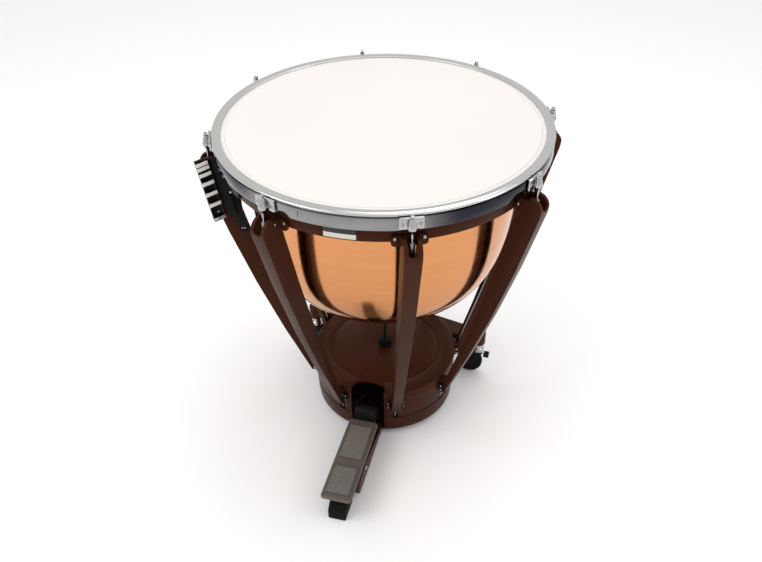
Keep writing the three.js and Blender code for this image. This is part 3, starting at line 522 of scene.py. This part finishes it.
def make_finishes(look):
    """Fills the finishes that the pieces take by name."""
    for key, name, metallic, specular, colour, patch, rough, grain in PLAIN_FINISHES:
        finishes[key] = made_finish(name, colour, patch, metallic, rough, grain, specular=specular)
    paint, copper, head = tuple(look.paint), tuple(look.copper), tuple(look.head)
    finishes["paint"] = made_finish(
        "Brown satin paint", paint, tuple(0.7 * part for part in paint), rough=(0.30, 0.42),
        grain=(900, 0.10), patches=(5, 0.6), specular=0.11, tint=(1.0, 0.5, 0.3))
    finishes["copper"] = made_finish(
        "Polished copper", copper, (0.61, 0.25, 0.095), 1.0, rough=(0.10, 0.17), grain=(60, 0.05),
        patches=(4, 0.35), stretch=(1, 1, 14))
    finishes["head"] = made_finish(
        "Film head", head, tuple(0.965 * part for part in head), rough=(0.42, 0.55),
        grain=(2600, 0.10), patches=(2.5, 0.6), specular=0.35)
    # Painted reflections: the hoop's chrome is darker than the other chrome and its patches go almost
    # black, for the dark surroundings mirrored in the band.
    finishes["hoop"] = made_finish(
        "Hoop chrome with painted reflections", (0.33, 0.33, 0.33), (0.10, 0.10, 0.105), 1.0, rough=(0.07, 0.13),
        grain=(700, 0.03), patches=(3.2, 1.0))
    two_tone_and_painted_top_sheen(finishes["plate"], NAMEPLATE_SPLIT, (0.008, 0.008, 0.009), 0.0)
    # Painted reflection: the hoop's top is lighter than its band, as the bright sky mirrored in the
    # chrome.
    two_tone_and_painted_top_sheen(finishes["hoop"], HOOP_PAINTED_SHEEN_LINE, (0.55, 0.55, 0.54), 1.0)
    # Painted reflection: the hoop's band is darkened towards both sides of the drum, where it mirrors
    # dark surroundings.
    painted_dark_flank_reflection(finishes["hoop"], 0.16, 0.25, (0.025, 0.026, 0.034))


# ---- Settings ------------------------------------------------------------------------------------


class TimpaniLook(bpy.types.PropertyGroup):
    paint: FloatVectorProperty(
        name="Paint", description="Colour of the struts, ring and base", subtype="COLOR",
        size=3, min=0, max=1, default=(0.046, 0.0135, 0.0068))
    copper: FloatVectorProperty(
        name="Copper", description="Colour of the bowl", subtype="COLOR",
        size=3, min=0, max=1, default=(0.665, 0.290, 0.118))
    head: FloatVectorProperty(
        name="Head", description="Colour of the drum head", subtype="COLOR",
        size=3, min=0, max=1, default=(0.70, 0.665, 0.635))


class TimpaniShape(bpy.types.PropertyGroup):
    sides: IntProperty(
        name="Sides", description="Sides of the large round pieces", min=48, max=256, default=160)
    strut_corner: FloatProperty(
        name="Strut Corner", description="Rounding of the struts' outer corners",
        subtype="DISTANCE", min=0.001, max=0.0085, default=0.0080)
    bead: FloatProperty(
        name="Hoop Bead", description="Radius of the bead round the hoop's top", subtype="DISTANCE",
        min=0.001, max=0.004, default=0.0029)
    stud_pitch: FloatProperty(
        name="Tread Pitch", description="Distance between the studs of the treads",
        subtype="DISTANCE", min=0.004, max=0.02, default=0.0076)


class TimpaniStudio(bpy.types.PropertyGroup):
    floor: FloatVectorProperty(
        name="Floor", description="Colour of the floor", subtype="COLOR",
        size=3, min=0, max=1, default=(0.93, 0.93, 0.93))
    sky: FloatProperty(
        name="Sky", description="Strength of the surrounding light", min=0, max=5, default=0.92)
    key: FloatProperty(
        name="Key", description="Power of the main soft light", min=0, max=500, default=30)
    lens: FloatProperty(
        name="Lens", description="Focal length in millimetres", min=10, max=200, default=39.05)


# ---- Bowl, head and hoop -------------------------------------------------------------------------


SEAM_ANGLE = -11.3


def bowl_radius(height):
    """The outer radius of the bowl below its waist."""
    depth = (BOWL_TOP - height) / (BOWL_TOP - BOWL_BOTTOM)
    rounding = max(0.0, 1 - depth**BOWL_ROUNDNESS) ** (1 / BOWL_FULLNESS)
    return BOWL_BODY * (1 - BOWL_TAPER * depth) * rounding


def bowl_outline():
    """A straight collar, an eased step in to the waist, and a round bottom with a vent."""
    outer = [(BOWL_RIM, BOWL_TOP - 0.0008), (BOWL_RIM, BOWL_COLLAR)]
    inset = bowl_radius(BOWL_WAIST) - BOWL_RIM
    for share in (0.15, 0.35, 0.6, 0.85):
        ease = share * share * (3 - 2 * share)
        height = BOWL_COLLAR + (BOWL_WAIST - BOWL_COLLAR) * share
        outer.append((BOWL_RIM + inset * ease, height))
    steps = 30
    inner = [(radius - BOWL_WALL, height) for radius, height in outer]
    for step in range(steps):
        quarter = step / steps * math.pi / 2
        height = BOWL_WAIST - (BOWL_WAIST - BOWL_BOTTOM) * math.sin(quarter)
        outer.append((bowl_radius(height), height))
        inner.append((bowl_radius(height) - BOWL_WALL, height + BOWL_WALL * math.sin(quarter)))
    vent = 0.014
    outer.append((vent, BOWL_BOTTOM))
    inner.append((vent, BOWL_BOTTOM + BOWL_WALL))
    rim = [(BOWL_RIM - BOWL_WALL / 2, BOWL_TOP)]
    return outer + inner[::-1] + rim


def hoop_outline(bead):
    """The counterhoop's section: a flat top, a rolled bead, a groove under it and the band."""
    rim = HOOP_RADIUS - bead
    roll_height = HOOP_TOP - bead + 0.0003
    outline = [
        (HOOP_INNER, HOOP_TOP - 0.0034),
        (HOOP_INNER, HOOP_TOP - 0.0010),
        (HOOP_INNER + 0.0005, HOOP_TOP - 0.0003),
        (HOOP_INNER + 0.0013, HOOP_TOP),
        (HOOP_RADIUS - 0.0075, HOOP_TOP),
        (HOOP_RADIUS - 0.0062, HOOP_TOP - 0.0005),
    ]
    for degrees in range(120, -76, -15):
        angle = math.radians(degrees)
        outline.append((rim + bead * math.cos(angle), roll_height + bead * math.sin(angle)))
    outline += [
        (HOOP_RADIUS - 0.0030, HOOP_TOP - 0.0070),
        (HOOP_RADIUS - 0.0030, HOOP_TOP - 0.0084),
        (HOOP_RADIUS - 0.0012, HOOP_TOP - 0.0092),
        (HOOP_RADIUS - 0.0008, HOOP_TOP - 0.0104),
        (HOOP_RADIUS - 0.0006, HOOP_BOTTOM + 0.0014),
        (HOOP_RADIUS - 0.0012, HOOP_BOTTOM + 0.0004),
        (HOOP_RADIUS - 0.0024, HOOP_BOTTOM),
        (HOOP_RADIUS - 0.0040, HOOP_BOTTOM + 0.0010),
        (HOOP_RADIUS - 0.0040, HOOP_TOP - 0.0034),
    ]
    return outline


class TIMPANI_OT_shell(bpy.types.Operator):
    """The bowl, its ring and nameplate, the head and the counterhoop"""

    bl_idname = "timpani.shell"
    bl_label = "Bowl, Head and Hoop"

    def execute(self, context):
        shape = context.scene.timpani_shape
        bowl = turned("bowl_shell", bowl_outline(), shape.sides)
        lip = turned(
            "bowl_lip",
            [
                (BOWL_RIM - 0.0005, RING_TOP + 0.0003),
                (BOWL_RIM + 0.0078, RING_TOP + 0.0003),
                (BOWL_RIM + 0.0080, RING_TOP + 0.0012),
                (BOWL_RIM + 0.0080, RING_TOP + 0.0034),
                (BOWL_RIM - 0.0005, RING_TOP + 0.0038),
            ],
            shape.sides,
        )
        place(joined("bowl_shell", bowl, lip), "frame", finishes["copper"], "bowl", slot="copper")
        inner = RING_RADIUS - 0.0108
        ring = turned(
            "bowl_ring_band",
            [(inner, RING_BOTTOM), (RING_RADIUS, RING_BOTTOM),
             (RING_RADIUS, RING_TOP), (inner, RING_TOP)],
            shape.sides,
        )
        softened(ring, 0.0018, 3)
        place(ring, "frame", finishes["paint"], "bowl_ring", slot="paint")
        edge = BOWL_RIM + 0.0003
        skin = turned(
            "head_film",
            [
                (0, HEAD_TOP),
                (0.12, HEAD_TOP),
                (0.26, HEAD_TOP),
                (edge - 0.0016, HEAD_TOP),
                (edge - 0.0004, HEAD_TOP - 0.0002),
                (edge + 0.0004, HEAD_TOP - 0.0009),
                (edge + 0.0005, HEAD_TOP - 0.0100),
                (edge, HEAD_TOP - 0.0100),
                (edge, HEAD_TOP - 0.0011),
                (edge - 0.0014, HEAD_TOP - 0.0007),
                (0, HEAD_TOP - 0.0007),
            ],
            shape.sides,
            closed=False,
        )
        place(skin, "frame", finishes["head"], "head_membrane", slot="head", smooth=50)
        under = HOOP_TOP - 0.0037
        collar = turned(
            "head_collar",
            [
                (edge + 0.0007, HEAD_TOP - 0.0008),
                (edge + 0.0040, under + 0.0003),
                (HOOP_INNER + 0.0030, under - 0.0002),
                (HOOP_INNER + 0.0030, under - 0.0006),
                (edge + 0.0040, under - 0.0002),
                (edge + 0.0007, HEAD_TOP - 0.0013),
            ],
            shape.sides,
        )
        place(collar, "tuning", finishes["head"], slot="head", smooth=50)
        hoop = turned("counterhoop_rim", hoop_outline(shape.bead), shape.sides)
        place(hoop, "tuning", finishes["hoop"], "counterhoop", slot="chrome", smooth=40)
        face = HOOP_RADIUS - 0.0008
        mark = [(-0.0007, 0.0085), (0.0005, 0.0105), (0.0012, 0.0160), (0.0007, 0.0225),
                (-0.0005, 0.0245), (0.0002, 0.0160), (-0.0004, 0.0110)]
        outline = [(aside, -face, HOOP_BOTTOM + rise) for aside, rise in mark]
        seam = slab("hoop_seam", outline, (0, -0.0004, 0))
        seam.data.transform(turn(SEAM_ANGLE))
        place(seam, "tuning", finishes["black_metal"])
        flesh = recast("flesh_hoop", "flesh_hoop_ring", 0.0012, 3)
        place(flesh, "tuning", finishes["steel"], "flesh_hoop", slot="steel")
        plate = recast("nameplate", "nameplate_blank", 0.0002, 2)
        place(plate, "frame", finishes["plate"], "nameplate", slot="alloy")
        return {"FINISHED"}


# ---- Struts --------------------------------------------------------------------------------------


def on_outer_corner(edge, faces):
    """True for the two long edges of a strut's outer face, at the front of the drum."""
    x = (edge.verts[0].co.x + edge.verts[1].co.x) / 2
    if len(faces) != 2 or not 0.0116 < abs(x) < 0.0200:
        return False
    front, side = sorted((face.normal for face in faces), key=lambda normal: abs(normal.x))
    return abs(front.x) < 0.2 and front.y < -0.15 and abs(side.x) > 0.9


def round_outer_corners(piece, width):
    """Bevels the two long outer edges of a strut."""
    edit(piece)
    bpy.ops.mesh.select_mode(type="EDGE")
    bpy.ops.mesh.select_all(action="DESELECT")
    mesh = bmesh.from_edit_mesh(piece.data)
    for edge in mesh.edges:
        edge.select = on_outer_corner(edge, edge.link_faces)
    bmesh.update_edit_mesh(piece.data)
    bpy.ops.mesh.bevel(offset=width, segments=5, profile=0.5, affect="EDGES", clamp_overlap=True)
    leave_edit()


def cross_screw(name, centre, axis, radius, height):
    """A low domed screw head with a cross recess."""
    centre, axis = Vector(centre), Vector(axis).normalized()
    dome = [(0, height), (radius * 0.55, height * 0.93), (radius * 0.86, height * 0.66),
            (radius, height * 0.2), (radius, 0), (0, 0)]
    screw = turned(name, dome, 20, centre, axis, closed=False)
    aside = Vector((1, 0, 0)) if abs(axis.x) < 0.5 else Vector((0, 1, 0))
    upward = axis.cross(aside)
    for first, second in ((aside, upward), (upward, aside)):
        long_half, short_half = first * radius * 0.55, second * radius * 0.12
        base = centre + axis * height * 0.45
        face = [base - long_half - short_half, base + long_half - short_half,
                base + long_half + short_half, base - long_half + short_half]
        cut(screw, slab("recess", face, axis * height))
    return screw


def strut_fixings():
    """The two brackets beside a strut's foot and all its bolts, at the front of the drum."""
    flange = RING_RADIUS + 0.0063
    bolts = [
        cross_screw(
            "flange_bolt", (side * 0.030, -flange, RING_TOP - 0.0235), (0, -1, 0), 0.0046, 0.0026)
        for side in (-1, 1)
    ]
    for name, spot in (
        ("side_bolt", (0.0196, -0.400, RING_TOP - 0.024)),
        ("foot_bolt", (0.0128, -0.2085, 0.135)),
    ):
        bolts.append(cross_screw(name, spot, (1, 0, 0), 0.0030, 0.0014))
    brackets = []
    for side in (-1, 1):
        inner, outer = sorted((side * 0.0134, side * 0.0205))
        bracket = block("seat_bracket", (inner, -0.2110, 0.1120), (outer, -0.1984, 0.1400))
        brackets.append(softened(bracket, 0.0018, 3))
        for height in (0.1190, 0.1330):
            spot = (side * 0.0204, -0.2056, height)
            bolts.append(cross_screw("seat_bolt", spot, (side, 0, 0), 0.0032, 0.0018))
    return joined("seat_brackets", *brackets), joined("strut_bolts", *bolts)


class TIMPANI_OT_struts(bpy.types.Operator):
    """The eight hollow struts with rounded outer corners, and their bolts"""

    bl_idname = "timpani.struts"
    bl_label = "Struts"

    def execute(self, context):
        shape = context.scene.timpani_shape
        casting = recast("strut_1", "strut_model", 0)
        casting.data.transform(turn(-station_angle(1)))
        round_outer_corners(casting, shape.strut_corner)
        softened(casting, 0.0007, 2, 40)
        seats, fixings = strut_fixings()
        for index in range(1, STATIONS + 1):
            around = turn(station_angle(index))
            node = f"strut_{index}"
            strut = copied(casting, f"strut_casting_{index}", around)
            bolts = copied(fixings, f"strut_bolts_{index}", around)
            brackets = copied(seats, f"seat_brackets_{index}", around)
            place(strut, "frame", finishes["paint"], node, slot="paint")
            place(bolts, "frame", finishes["chrome"])
            place(brackets, "frame", finishes["black_metal"])
        for model in (casting, fixings, seats):
            bpy.data.objects.remove(model, do_unlink=True)
        return {"FINISHED"}


# ---- Lugs and tension screws ---------------------------------------------------------------------


class TIMPANI_OT_lugs(bpy.types.Operator):
    """The lugs on the counterhoop and the square-headed tension screws"""

    bl_idname = "timpani.lugs"
    bl_label = "Lugs and Screws"

    def execute(self, context):
        plate_top = HOOP_TOP - 0.005
        back = HOOP_RADIUS + 0.0003
        half = 0.026
        face = rounded_face(half, plate_top - 0.028, plate_top, 0.003, -back)
        plate = slab("lug_plate", face, (0, -0.005, 0))
        softened(plate, 0.0010, 3)
        shelf = block(
            "lug_shelf",
            (-half, -back - 0.0068, plate_top - 0.0030),
            (half, -back - 0.003, plate_top - 0.0002),
        )
        softened(shelf, 0.0008, 3)
        web = slab(
            "lug_web",
            [(-0.0045, -back, plate_top - 0.024), (-0.0045, -SCREW_RADIUS, plate_top - 0.030),
             (-0.0045, -SCREW_RADIUS, plate_top - 0.006), (-0.0045, -back, plate_top - 0.002)],
            (0.009, 0, 0),
        )
        swell = ((0.0045, 0.048), (0.0048, 0.040), (0.0062, 0.0345), (0.0088, 0.0295),
                 (0.0098, 0.026), (0.0098, 0.023), (0.0086, 0.0175), (0.0072, 0.0115),
                 (0.0064, 0.0072), (0.0060, 0.0052))
        bore = 0.0038
        boss = turned(
            "lug_boss",
            [(bore, HOOP_TOP - 0.048)] + [(radius, HOOP_TOP - drop) for radius, drop in swell]
            + [(0.0052, HOOP_TOP - 0.0042), (bore, HOOP_TOP - 0.0040)],
            32,
            (0, -SCREW_RADIUS, 0),
        )
        screws = [
            cross_screw(
                "lug_screw", (side * 0.019, -back - 0.0048, plate_top - 0.016), (0, -1, 0),
                0.0042, 0.0024)
            for side in (-1, 1)
        ]
        lug = joined("lug_model", plate, shelf, web, boss, *screws)
        seat = HOOP_TOP - 0.0037
        side = 0.004
        square = block(
            "screw_square",
            (-side, -SCREW_RADIUS - side, seat + 0.0016),
            (side, -SCREW_RADIUS + side, seat + 0.0077),
        )
        softened(square, 0.0007, 2)
        washer = turned(
            "screw_washer",
            [(0.0, seat + 0.0022), (0.0058, seat + 0.0016), (0.0060, seat + 0.0004),
             (0.0056, seat), (0.0, seat)],
            28,
            (0, -SCREW_RADIUS, 0),
            closed=False,
        )
        low = bottom_of("tension_screw_1")
        rod = [(0.0, seat + 0.001), (0.0035, seat + 0.001), (0.0035, low + 0.012)]
        thread = low + 0.012
        while thread > low + 0.002:
            rod += [(0.0031, thread - 0.0005), (0.0035, thread - 0.0010)]
            thread -= 0.0010
        rod += [(0.0028, low), (0.0, low)]
        shank = turned("screw_shank", rod, 20, (0, -SCREW_RADIUS, 0), closed=False)
        screw = joined("screw_model", shank, square, washer)
        for index in range(1, STATIONS + 1):
            around = turn(station_angle(index))
            casting = copied(lug, f"lug_casting_{index}", around)
            rod = copied(screw, f"tension_rod_{index}", around)
            place(casting, "tuning", finishes["chrome"], f"lug_{index}", slot="chrome")
            place(rod, f"screw_{index}", finishes["chrome"], f"tension_screw_{index}",
                  slot="chrome")
        for model in (lug, screw):
            bpy.data.objects.remove(model, do_unlink=True)
        return {"FINISHED"}


# ---- Base ----------------------------------------------------------------------------------------


def mouth_outline(height):
    """The pedal's opening from above, open towards the player."""
    half, back, corner = 0.046, -0.150, 0.030
    front = -LID_RADIUS - 0.03
    points = [(-half, front, height), (half, front, height), (half, back - corner, height)]
    steps = 8
    start, bend, end = Vector((half, back - corner)), Vector((half, back)), Vector((0, back))
    for sign, order in ((1, range(1, steps + 1)), (-1, range(steps - 1, -1, -1))):
        for step in order:
            share = step / steps
            point = start * (1 - share) ** 2 + bend * 2 * share * (1 - share) + end * share**2
            points.append((sign * point.x, point.y, height))
    return points


def skirt_radius(height):
    """The outer radius of the base casting, which widens a little upwards."""
    return 0.194 + 0.004 * (height - 0.020) / 0.118


class TIMPANI_OT_base(bpy.types.Operator):
    """The base casting and lid, the spring and knob, the rocker and the spider"""

    bl_idname = "timpani.base"
    bl_label = "Base"

    def execute(self, context):
        shape = context.scene.timpani_shape
        groove = 0.152
        lid = turned(
            "lid_disc",
            [
                (0.0043, LID_BOTTOM),
                (LID_RADIUS - 0.0012, LID_BOTTOM),
                (LID_RADIUS, LID_BOTTOM + 0.0015),
                (LID_RADIUS, LID_TOP - 0.0052),
                (LID_RADIUS - 0.0004, LID_TOP - 0.0032),
                (LID_RADIUS - 0.0014, LID_TOP - 0.0015),
                (LID_RADIUS - 0.0031, LID_TOP - 0.0004),
                (LID_RADIUS - 0.0050, LID_TOP),
                (groove + 0.0030, LID_TOP),
                (groove + 0.0021, LID_TOP - 0.0005),
                (groove + 0.0014, LID_TOP - 0.0020),
                (groove + 0.0006, LID_TOP - 0.0020),
                (groove, LID_TOP - 0.0003),
                (groove - 0.0008, LID_TOP),
                (0.0043, LID_TOP),
            ],
            shape.sides,
        )
        cut(lid, slab("mouth", mouth_outline(LID_BOTTOM - 0.005), (0, 0, 0.030)))
        softened(lid, 0.0008, 2, 50)
        place(lid, "frame", finishes["paint"], "base_lid", slot="paint")
        place_recast(2, (
            ("base_casting", "frame", 0.0010, "paint"),
            ("spring_knob", "knob", 0.0009, "black_plastic"),
            ("spring", "frame", 0, "steel"),
            ("rocker_arm", "rocker", 0.0012, "black_metal"),
            ("rocker_axle", "frame", 0.0008, "steel"),
            ("tuning_spider", "tuning", 0.0005, "steel"),
        ))
        low, high = 0.034, 0.0655
        near, far = skirt_radius(low), skirt_radius(high)
        skirt = turned(
            "skirt_band",
            [(near + 0.0001, low), (near + 0.0009, low),
             (far + 0.0009, high), (far + 0.0001, high)],
            shape.sides,
        )
        cut(skirt, slab("mouth", mouth_outline(low - 0.010), (0, 0, 0.100)))
        place(skirt, "frame", finishes["paint"])
        return {"FINISHED"}


# ---- Pedal ---------------------------------------------------------------------------------------


def studded_pad(name, node, pitch):
    """A tread with staggered rows of low round studs, with painted shade on the flat between them."""
    pad = recast(node, name, 0.0006, 2)
    low, high = [Vector(corner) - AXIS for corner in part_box(node)]
    rise = 0.0007
    parts = [pad]
    margin = 0.0055
    for shift in (0, pitch / 2):
        across = int((high.x - low.x - 2 * margin - shift) / pitch) + 1
        along = int((high.y - low.y - 2 * margin - shift) / pitch) + 1
        corner = (low.x + margin + shift, low.y + margin + shift, high.z - 0.0002)
        stud = turned("stud", [(0, rise), (0.0019, rise), (0.0024, 0)], 8, corner, closed=False)
        repeated(stud, across, (pitch, 0, 0))
        repeated(stud, along, (0, pitch, 0))
        parts.append(stud)
    piece = joined(name, *parts)
    # Painted shade: the flat between the studs is dark, and the stud tops take the lighter rubber
    # grey.
    painted(piece, finishes["pad"], finishes["stud"], lambda at, normal: at.z > high.z + 0.0003)
    return piece


class TIMPANI_OT_pedal(bpy.types.Operator):
    """The footboard with its two treads, the lever, its axle, and the leg with its foot"""

    bl_idname = "timpani.pedal"
    bl_label = "Pedal"

    def execute(self, context):
        pitch = context.scene.timpani_shape.stud_pitch
        for node in ("toe_tread", "heel_tread"):
            pad = studded_pad(node + "_pad", node, pitch)
            place(pad, "pedal", finishes["pad"], node, slot="rubber")
        place_recast(3, (
            ("footboard", "pedal", 0.0016, "alloy"),
            ("pedal_lever", "pedal", 0.0018, "black_metal"),
            ("pedal_axle", "frame", 0.0008, "steel"),
            ("front_leg", "frame", 0.0018, "paint"),
            ("front_foot", "frame", 0.0025, "rubber"),
        ))
        return {"FINISHED"}


# ---- Casters -------------------------------------------------------------------------------------


FORK_CROWN = 0.0795


class TIMPANI_OT_casters(bpy.types.Operator):
    """The two casters with their forks, wheels and brakes"""

    bl_idname = "timpani.casters"
    bl_label = "Casters"

    def execute(self, context):
        for hand in ("left", "right"):
            fork_node = f"caster_fork_{hand}"
            fork = recast(fork_node, f"caster_body_{hand}", 0.0008, 2)
            painted(
                fork, finishes["black_metal"], finishes["chrome"],
                lambda at, normal: at.z > FORK_CROWN)
            place(fork, f"swivel_{hand}", finishes["chrome"], fork_node, slot="chrome")
            wheel_node = f"caster_wheel_{hand}"
            wheel = recast(wheel_node, f"caster_tyre_{hand}", 0.0018, 3)
            place(wheel, f"wheel_{hand}", finishes["rubber"], wheel_node, slot="rubber")
            brake_node = f"caster_brake_{hand}"
            brake = recast(brake_node, f"caster_lever_{hand}", 0.0016, 3)
            place(brake, f"brake_{hand}", finishes["black_metal"], brake_node, slot="chrome")
        return {"FINISHED"}


# ---- Gauge ---------------------------------------------------------------------------------------


GAUGE_STATION = station_angle(-1)
RAIL_FACING = 45
RAIL_LEAN = -8.5
RAIL_BOTTOM = bottom_of("gauge_rail")


class TIMPANI_OT_gauge(bpy.types.Operator):
    """The tuning gauge: rail, markers, pointer, bracket and tube"""

    bl_idname = "timpani.gauge"
    bl_label = "Tuning Gauge"

    def execute(self, context):
        facing = math.radians(RAIL_FACING)
        across = Vector((math.cos(facing), math.sin(facing), 0))
        rail = recast("gauge_rail", "gauge_channel", 0.0003, 2)

        def bright(at, normal):
            return abs(normal.normalized().dot(across)) > 0.9 or at.z < RAIL_BOTTOM + 0.004

        painted(rail, finishes["black_metal"], finishes["satin_chrome"], bright)
        place(rail, "frame", finishes["black_metal"], "gauge_rail", slot="steel")
        parts = [
            (f"note_marker_{index}", f"marker_tab_{index}", 0.0006, 3,
             f"marker_{index}", "white", "marker_white")
            for index in range(1, 7)
        ]
        parts += [
            ("gauge_pointer", "pointer_tab", 0.0004, 2, "pointer", "red", "pointer_red"),
            ("gauge_bracket", "bracket_plate", 0.0005, 2, "frame", "black_metal", "black_metal"),
            ("gauge_tube", "cable_tube", 0.0010, 3, "frame", "black_plastic", "black_plastic"),
        ]
        for node, name, width, segments, body, finish, slot in parts:
            place(recast(node, name, width, segments), body, finishes[finish], node, slot=slot)
        corner = HOOP_RADIUS + 0.044
        azimuth = math.radians(GAUGE_STATION) + math.asin(0.0499 / corner)
        head = (corner * math.sin(azimuth), -corner * math.cos(azimuth), HOOP_TOP - 0.046)
        lean = Matrix.Rotation(math.radians(RAIL_LEAN), 4, "Y")
        rail_frame = Matrix.Translation(head) @ turn(RAIL_FACING) @ lean
        low, high, width = -0.1722, -0.1615, 0.030
        end_plate = slab(
            "rail_end_plate",
            [(0.0, 0, low), (width, 0, low), (width, 0, high), (0.0, 0, high)],
            (0, -0.0012, 0),
        )
        softened(end_plate, 0.0004, 2)
        spot = (0.0185, 0.0071, -0.1515)
        rail_screw = cross_screw("rail_screw", spot, (0, -1, 0), 0.0034, 0.0024)
        ends = joined("rail_end_plate", end_plate, rail_screw)
        ends.data.transform(rail_frame)
        place(ends, "frame", finishes["satin_chrome"])
        spots = ((0.396, 0.784, 0.0036), (0.372, 0.722, 0.0036),
                 (0.355, 0.618, 0.0026), (0.349, 0.618, 0.0026))
        screws = [
            cross_screw("bracket_screw", (0.024, -radius, height), (1, 0, 0), size, 0.0018)
            for radius, height, size in spots
        ]
        fixings = joined("bracket_screws", *screws)
        fixings.data.transform(turn(GAUGE_STATION))
        place(fixings, "frame", finishes["chrome"])
        return {"FINISHED"}


# ---- Studio --------------------------------------------------------------------------------------


def soft_light(name, place_at, aim, size, power):
    """A rectangular area light that points at its aim."""
    clear_selection()
    bpy.ops.object.light_add(type="AREA", location=place_at)
    light = bpy.context.object
    light.name = name
    light.data.shape = "RECTANGLE"
    light.data.size, light.data.size_y = size
    light.data.energy = power
    light.rotation_euler = (Vector(aim) - Vector(place_at)).to_track_quat("-Z", "Y").to_euler()


def studio_sky(strength):
    """A white sky that is a little darker towards the horizon."""
    world = bpy.data.worlds.new("Studio Sky")
    bpy.context.scene.world = world
    world.use_nodes = True
    nodes, links = world.node_tree.nodes, world.node_tree.links
    background = nodes["Background"]
    coordinates = nodes.new("ShaderNodeTexCoord")
    split = nodes.new("ShaderNodeSeparateXYZ")
    ramp = nodes.new("ShaderNodeValToRGB")
    rise = nodes.new("ShaderNodeMapRange")
    rise.inputs["From Min"].default_value = -0.2
    rise.inputs["From Max"].default_value = 1.0
    links.new(coordinates.outputs["Generated"], split.inputs["Vector"])
    links.new(split.outputs["Z"], rise.inputs["Value"])
    links.new(rise.outputs["Result"], ramp.inputs["Fac"])
    ramp.color_ramp.elements[0].color = (0.80, 0.80, 0.81, 1)
    ramp.color_ramp.elements[0].position = 0.12
    ramp.color_ramp.elements[1].color = (1, 1, 1, 1)
    ramp.color_ramp.elements[1].position = 0.62
    links.new(ramp.outputs["Color"], background.inputs["Color"])
    background.inputs["Strength"].default_value = strength


CAMERA_AT = AXIS + Vector((0.4469, -1.7015, 1.7627))
CAMERA_AIM = AXIS + Vector((-0.0091, -0.0024, 0.392))
CAMERA_ROLL = -0.0114

# Name, place about the drum axis, size, and share of the key light's power.
LIGHTS = (
    ("key_light", (-1.7, -1.5, 2.6), (1.8, 1.8), 1.0),
    ("top_light", (0.5, 0.9, 3.2), (2.6, 2.0), 0.9),
    ("side_light", (2.4, -0.4, 1.5), (0.7, 2.0), 0.25),
)


class TIMPANI_OT_stage(bpy.types.Operator):
    """The pale floor, the soft lights and the camera"""

    bl_idname = "timpani.stage"
    bl_label = "Stage"

    def execute(self, context):
        studio = context.scene.timpani_studio
        clear_selection()
        bpy.ops.mesh.primitive_plane_add(size=24, location=(0, 0, -0.0005))
        floor = context.object
        floor.name = "studio_floor"
        floor.data.materials.append(made_finish(
            "Studio floor", tuple(studio.floor), tuple(0.985 * part for part in studio.floor),
            rough=(0.6, 0.75), grain=(300, 0.02), patches=(0.6, 0.5), specular=0.2))
        studio_sky(studio.sky)
        aim = AXIS + Vector((0, 0, 0.5))
        for name, spot, size, share in LIGHTS:
            soft_light(name, AXIS + Vector(spot), aim, size, studio.key * share)
        clear_selection()
        bpy.ops.object.camera_add(location=CAMERA_AT)
        camera = context.object
        camera.name = "camera"
        camera.data.lens = studio.lens
        camera.data.sensor_width = 36
        camera.data.clip_end = 60
        roll = Matrix.Rotation(CAMERA_ROLL, 4, "Z")
        facing = (CAMERA_AIM - CAMERA_AT).to_track_quat("-Z", "Y").to_matrix().to_4x4()
        camera.matrix_world = Matrix.Translation(CAMERA_AT) @ facing @ roll
        context.scene.camera = camera
        context.scene.view_settings.view_transform = "Standard"
        return {"FINISHED"}


# ---- Add-on --------------------------------------------------------------------------------------

SETTINGS = (
    ("timpani_look", TimpaniLook),
    ("timpani_shape", TimpaniShape),
    ("timpani_studio", TimpaniStudio),
)
OPERATORS = (
    TIMPANI_OT_stage,
    TIMPANI_OT_shell,
    TIMPANI_OT_struts,
    TIMPANI_OT_lugs,
    TIMPANI_OT_base,
    TIMPANI_OT_pedal,
    TIMPANI_OT_casters,
    TIMPANI_OT_gauge,
)


class TIMPANI_PT_panel(bpy.types.Panel):
    """The settings and one button for each group of pieces"""

    bl_idname = "TIMPANI_PT_panel"
    bl_label = "Pedal Timpani"
    bl_space_type = "VIEW_3D"
    bl_region_type = "UI"
    bl_category = "Timpani"

    def draw(self, context):
        for name, group in SETTINGS:
            box = self.layout.box()
            for key in group.__annotations__:
                box.prop(getattr(context.scene, name), key)
        for operator in OPERATORS:
            self.layout.operator(operator.bl_idname)


def register():
    for name, group in SETTINGS:
        bpy.utils.register_class(group)
        setattr(bpy.types.Scene, name, PointerProperty(type=group))
    for operator in OPERATORS:
        bpy.utils.register_class(operator)
    bpy.utils.register_class(TIMPANI_PT_panel)


def unregister():
    bpy.utils.unregister_class(TIMPANI_PT_panel)
    for operator in reversed(OPERATORS):
        bpy.utils.unregister_class(operator)
    for name, group in reversed(SETTINGS):
        delattr(bpy.types.Scene, name)
        bpy.utils.unregister_class(group)


def main():
    register()
    make_finishes(bpy.context.scene.timpani_look)
    bpy.ops.timpani.stage()
    bpy.ops.timpani.shell()
    bpy.ops.timpani.struts()
    bpy.ops.timpani.lugs()
    bpy.ops.timpani.base()
    bpy.ops.timpani.pedal()
    bpy.ops.timpani.casters()
    bpy.ops.timpani.gauge()
    clear_selection()


if __name__ == "__main__":
    main()
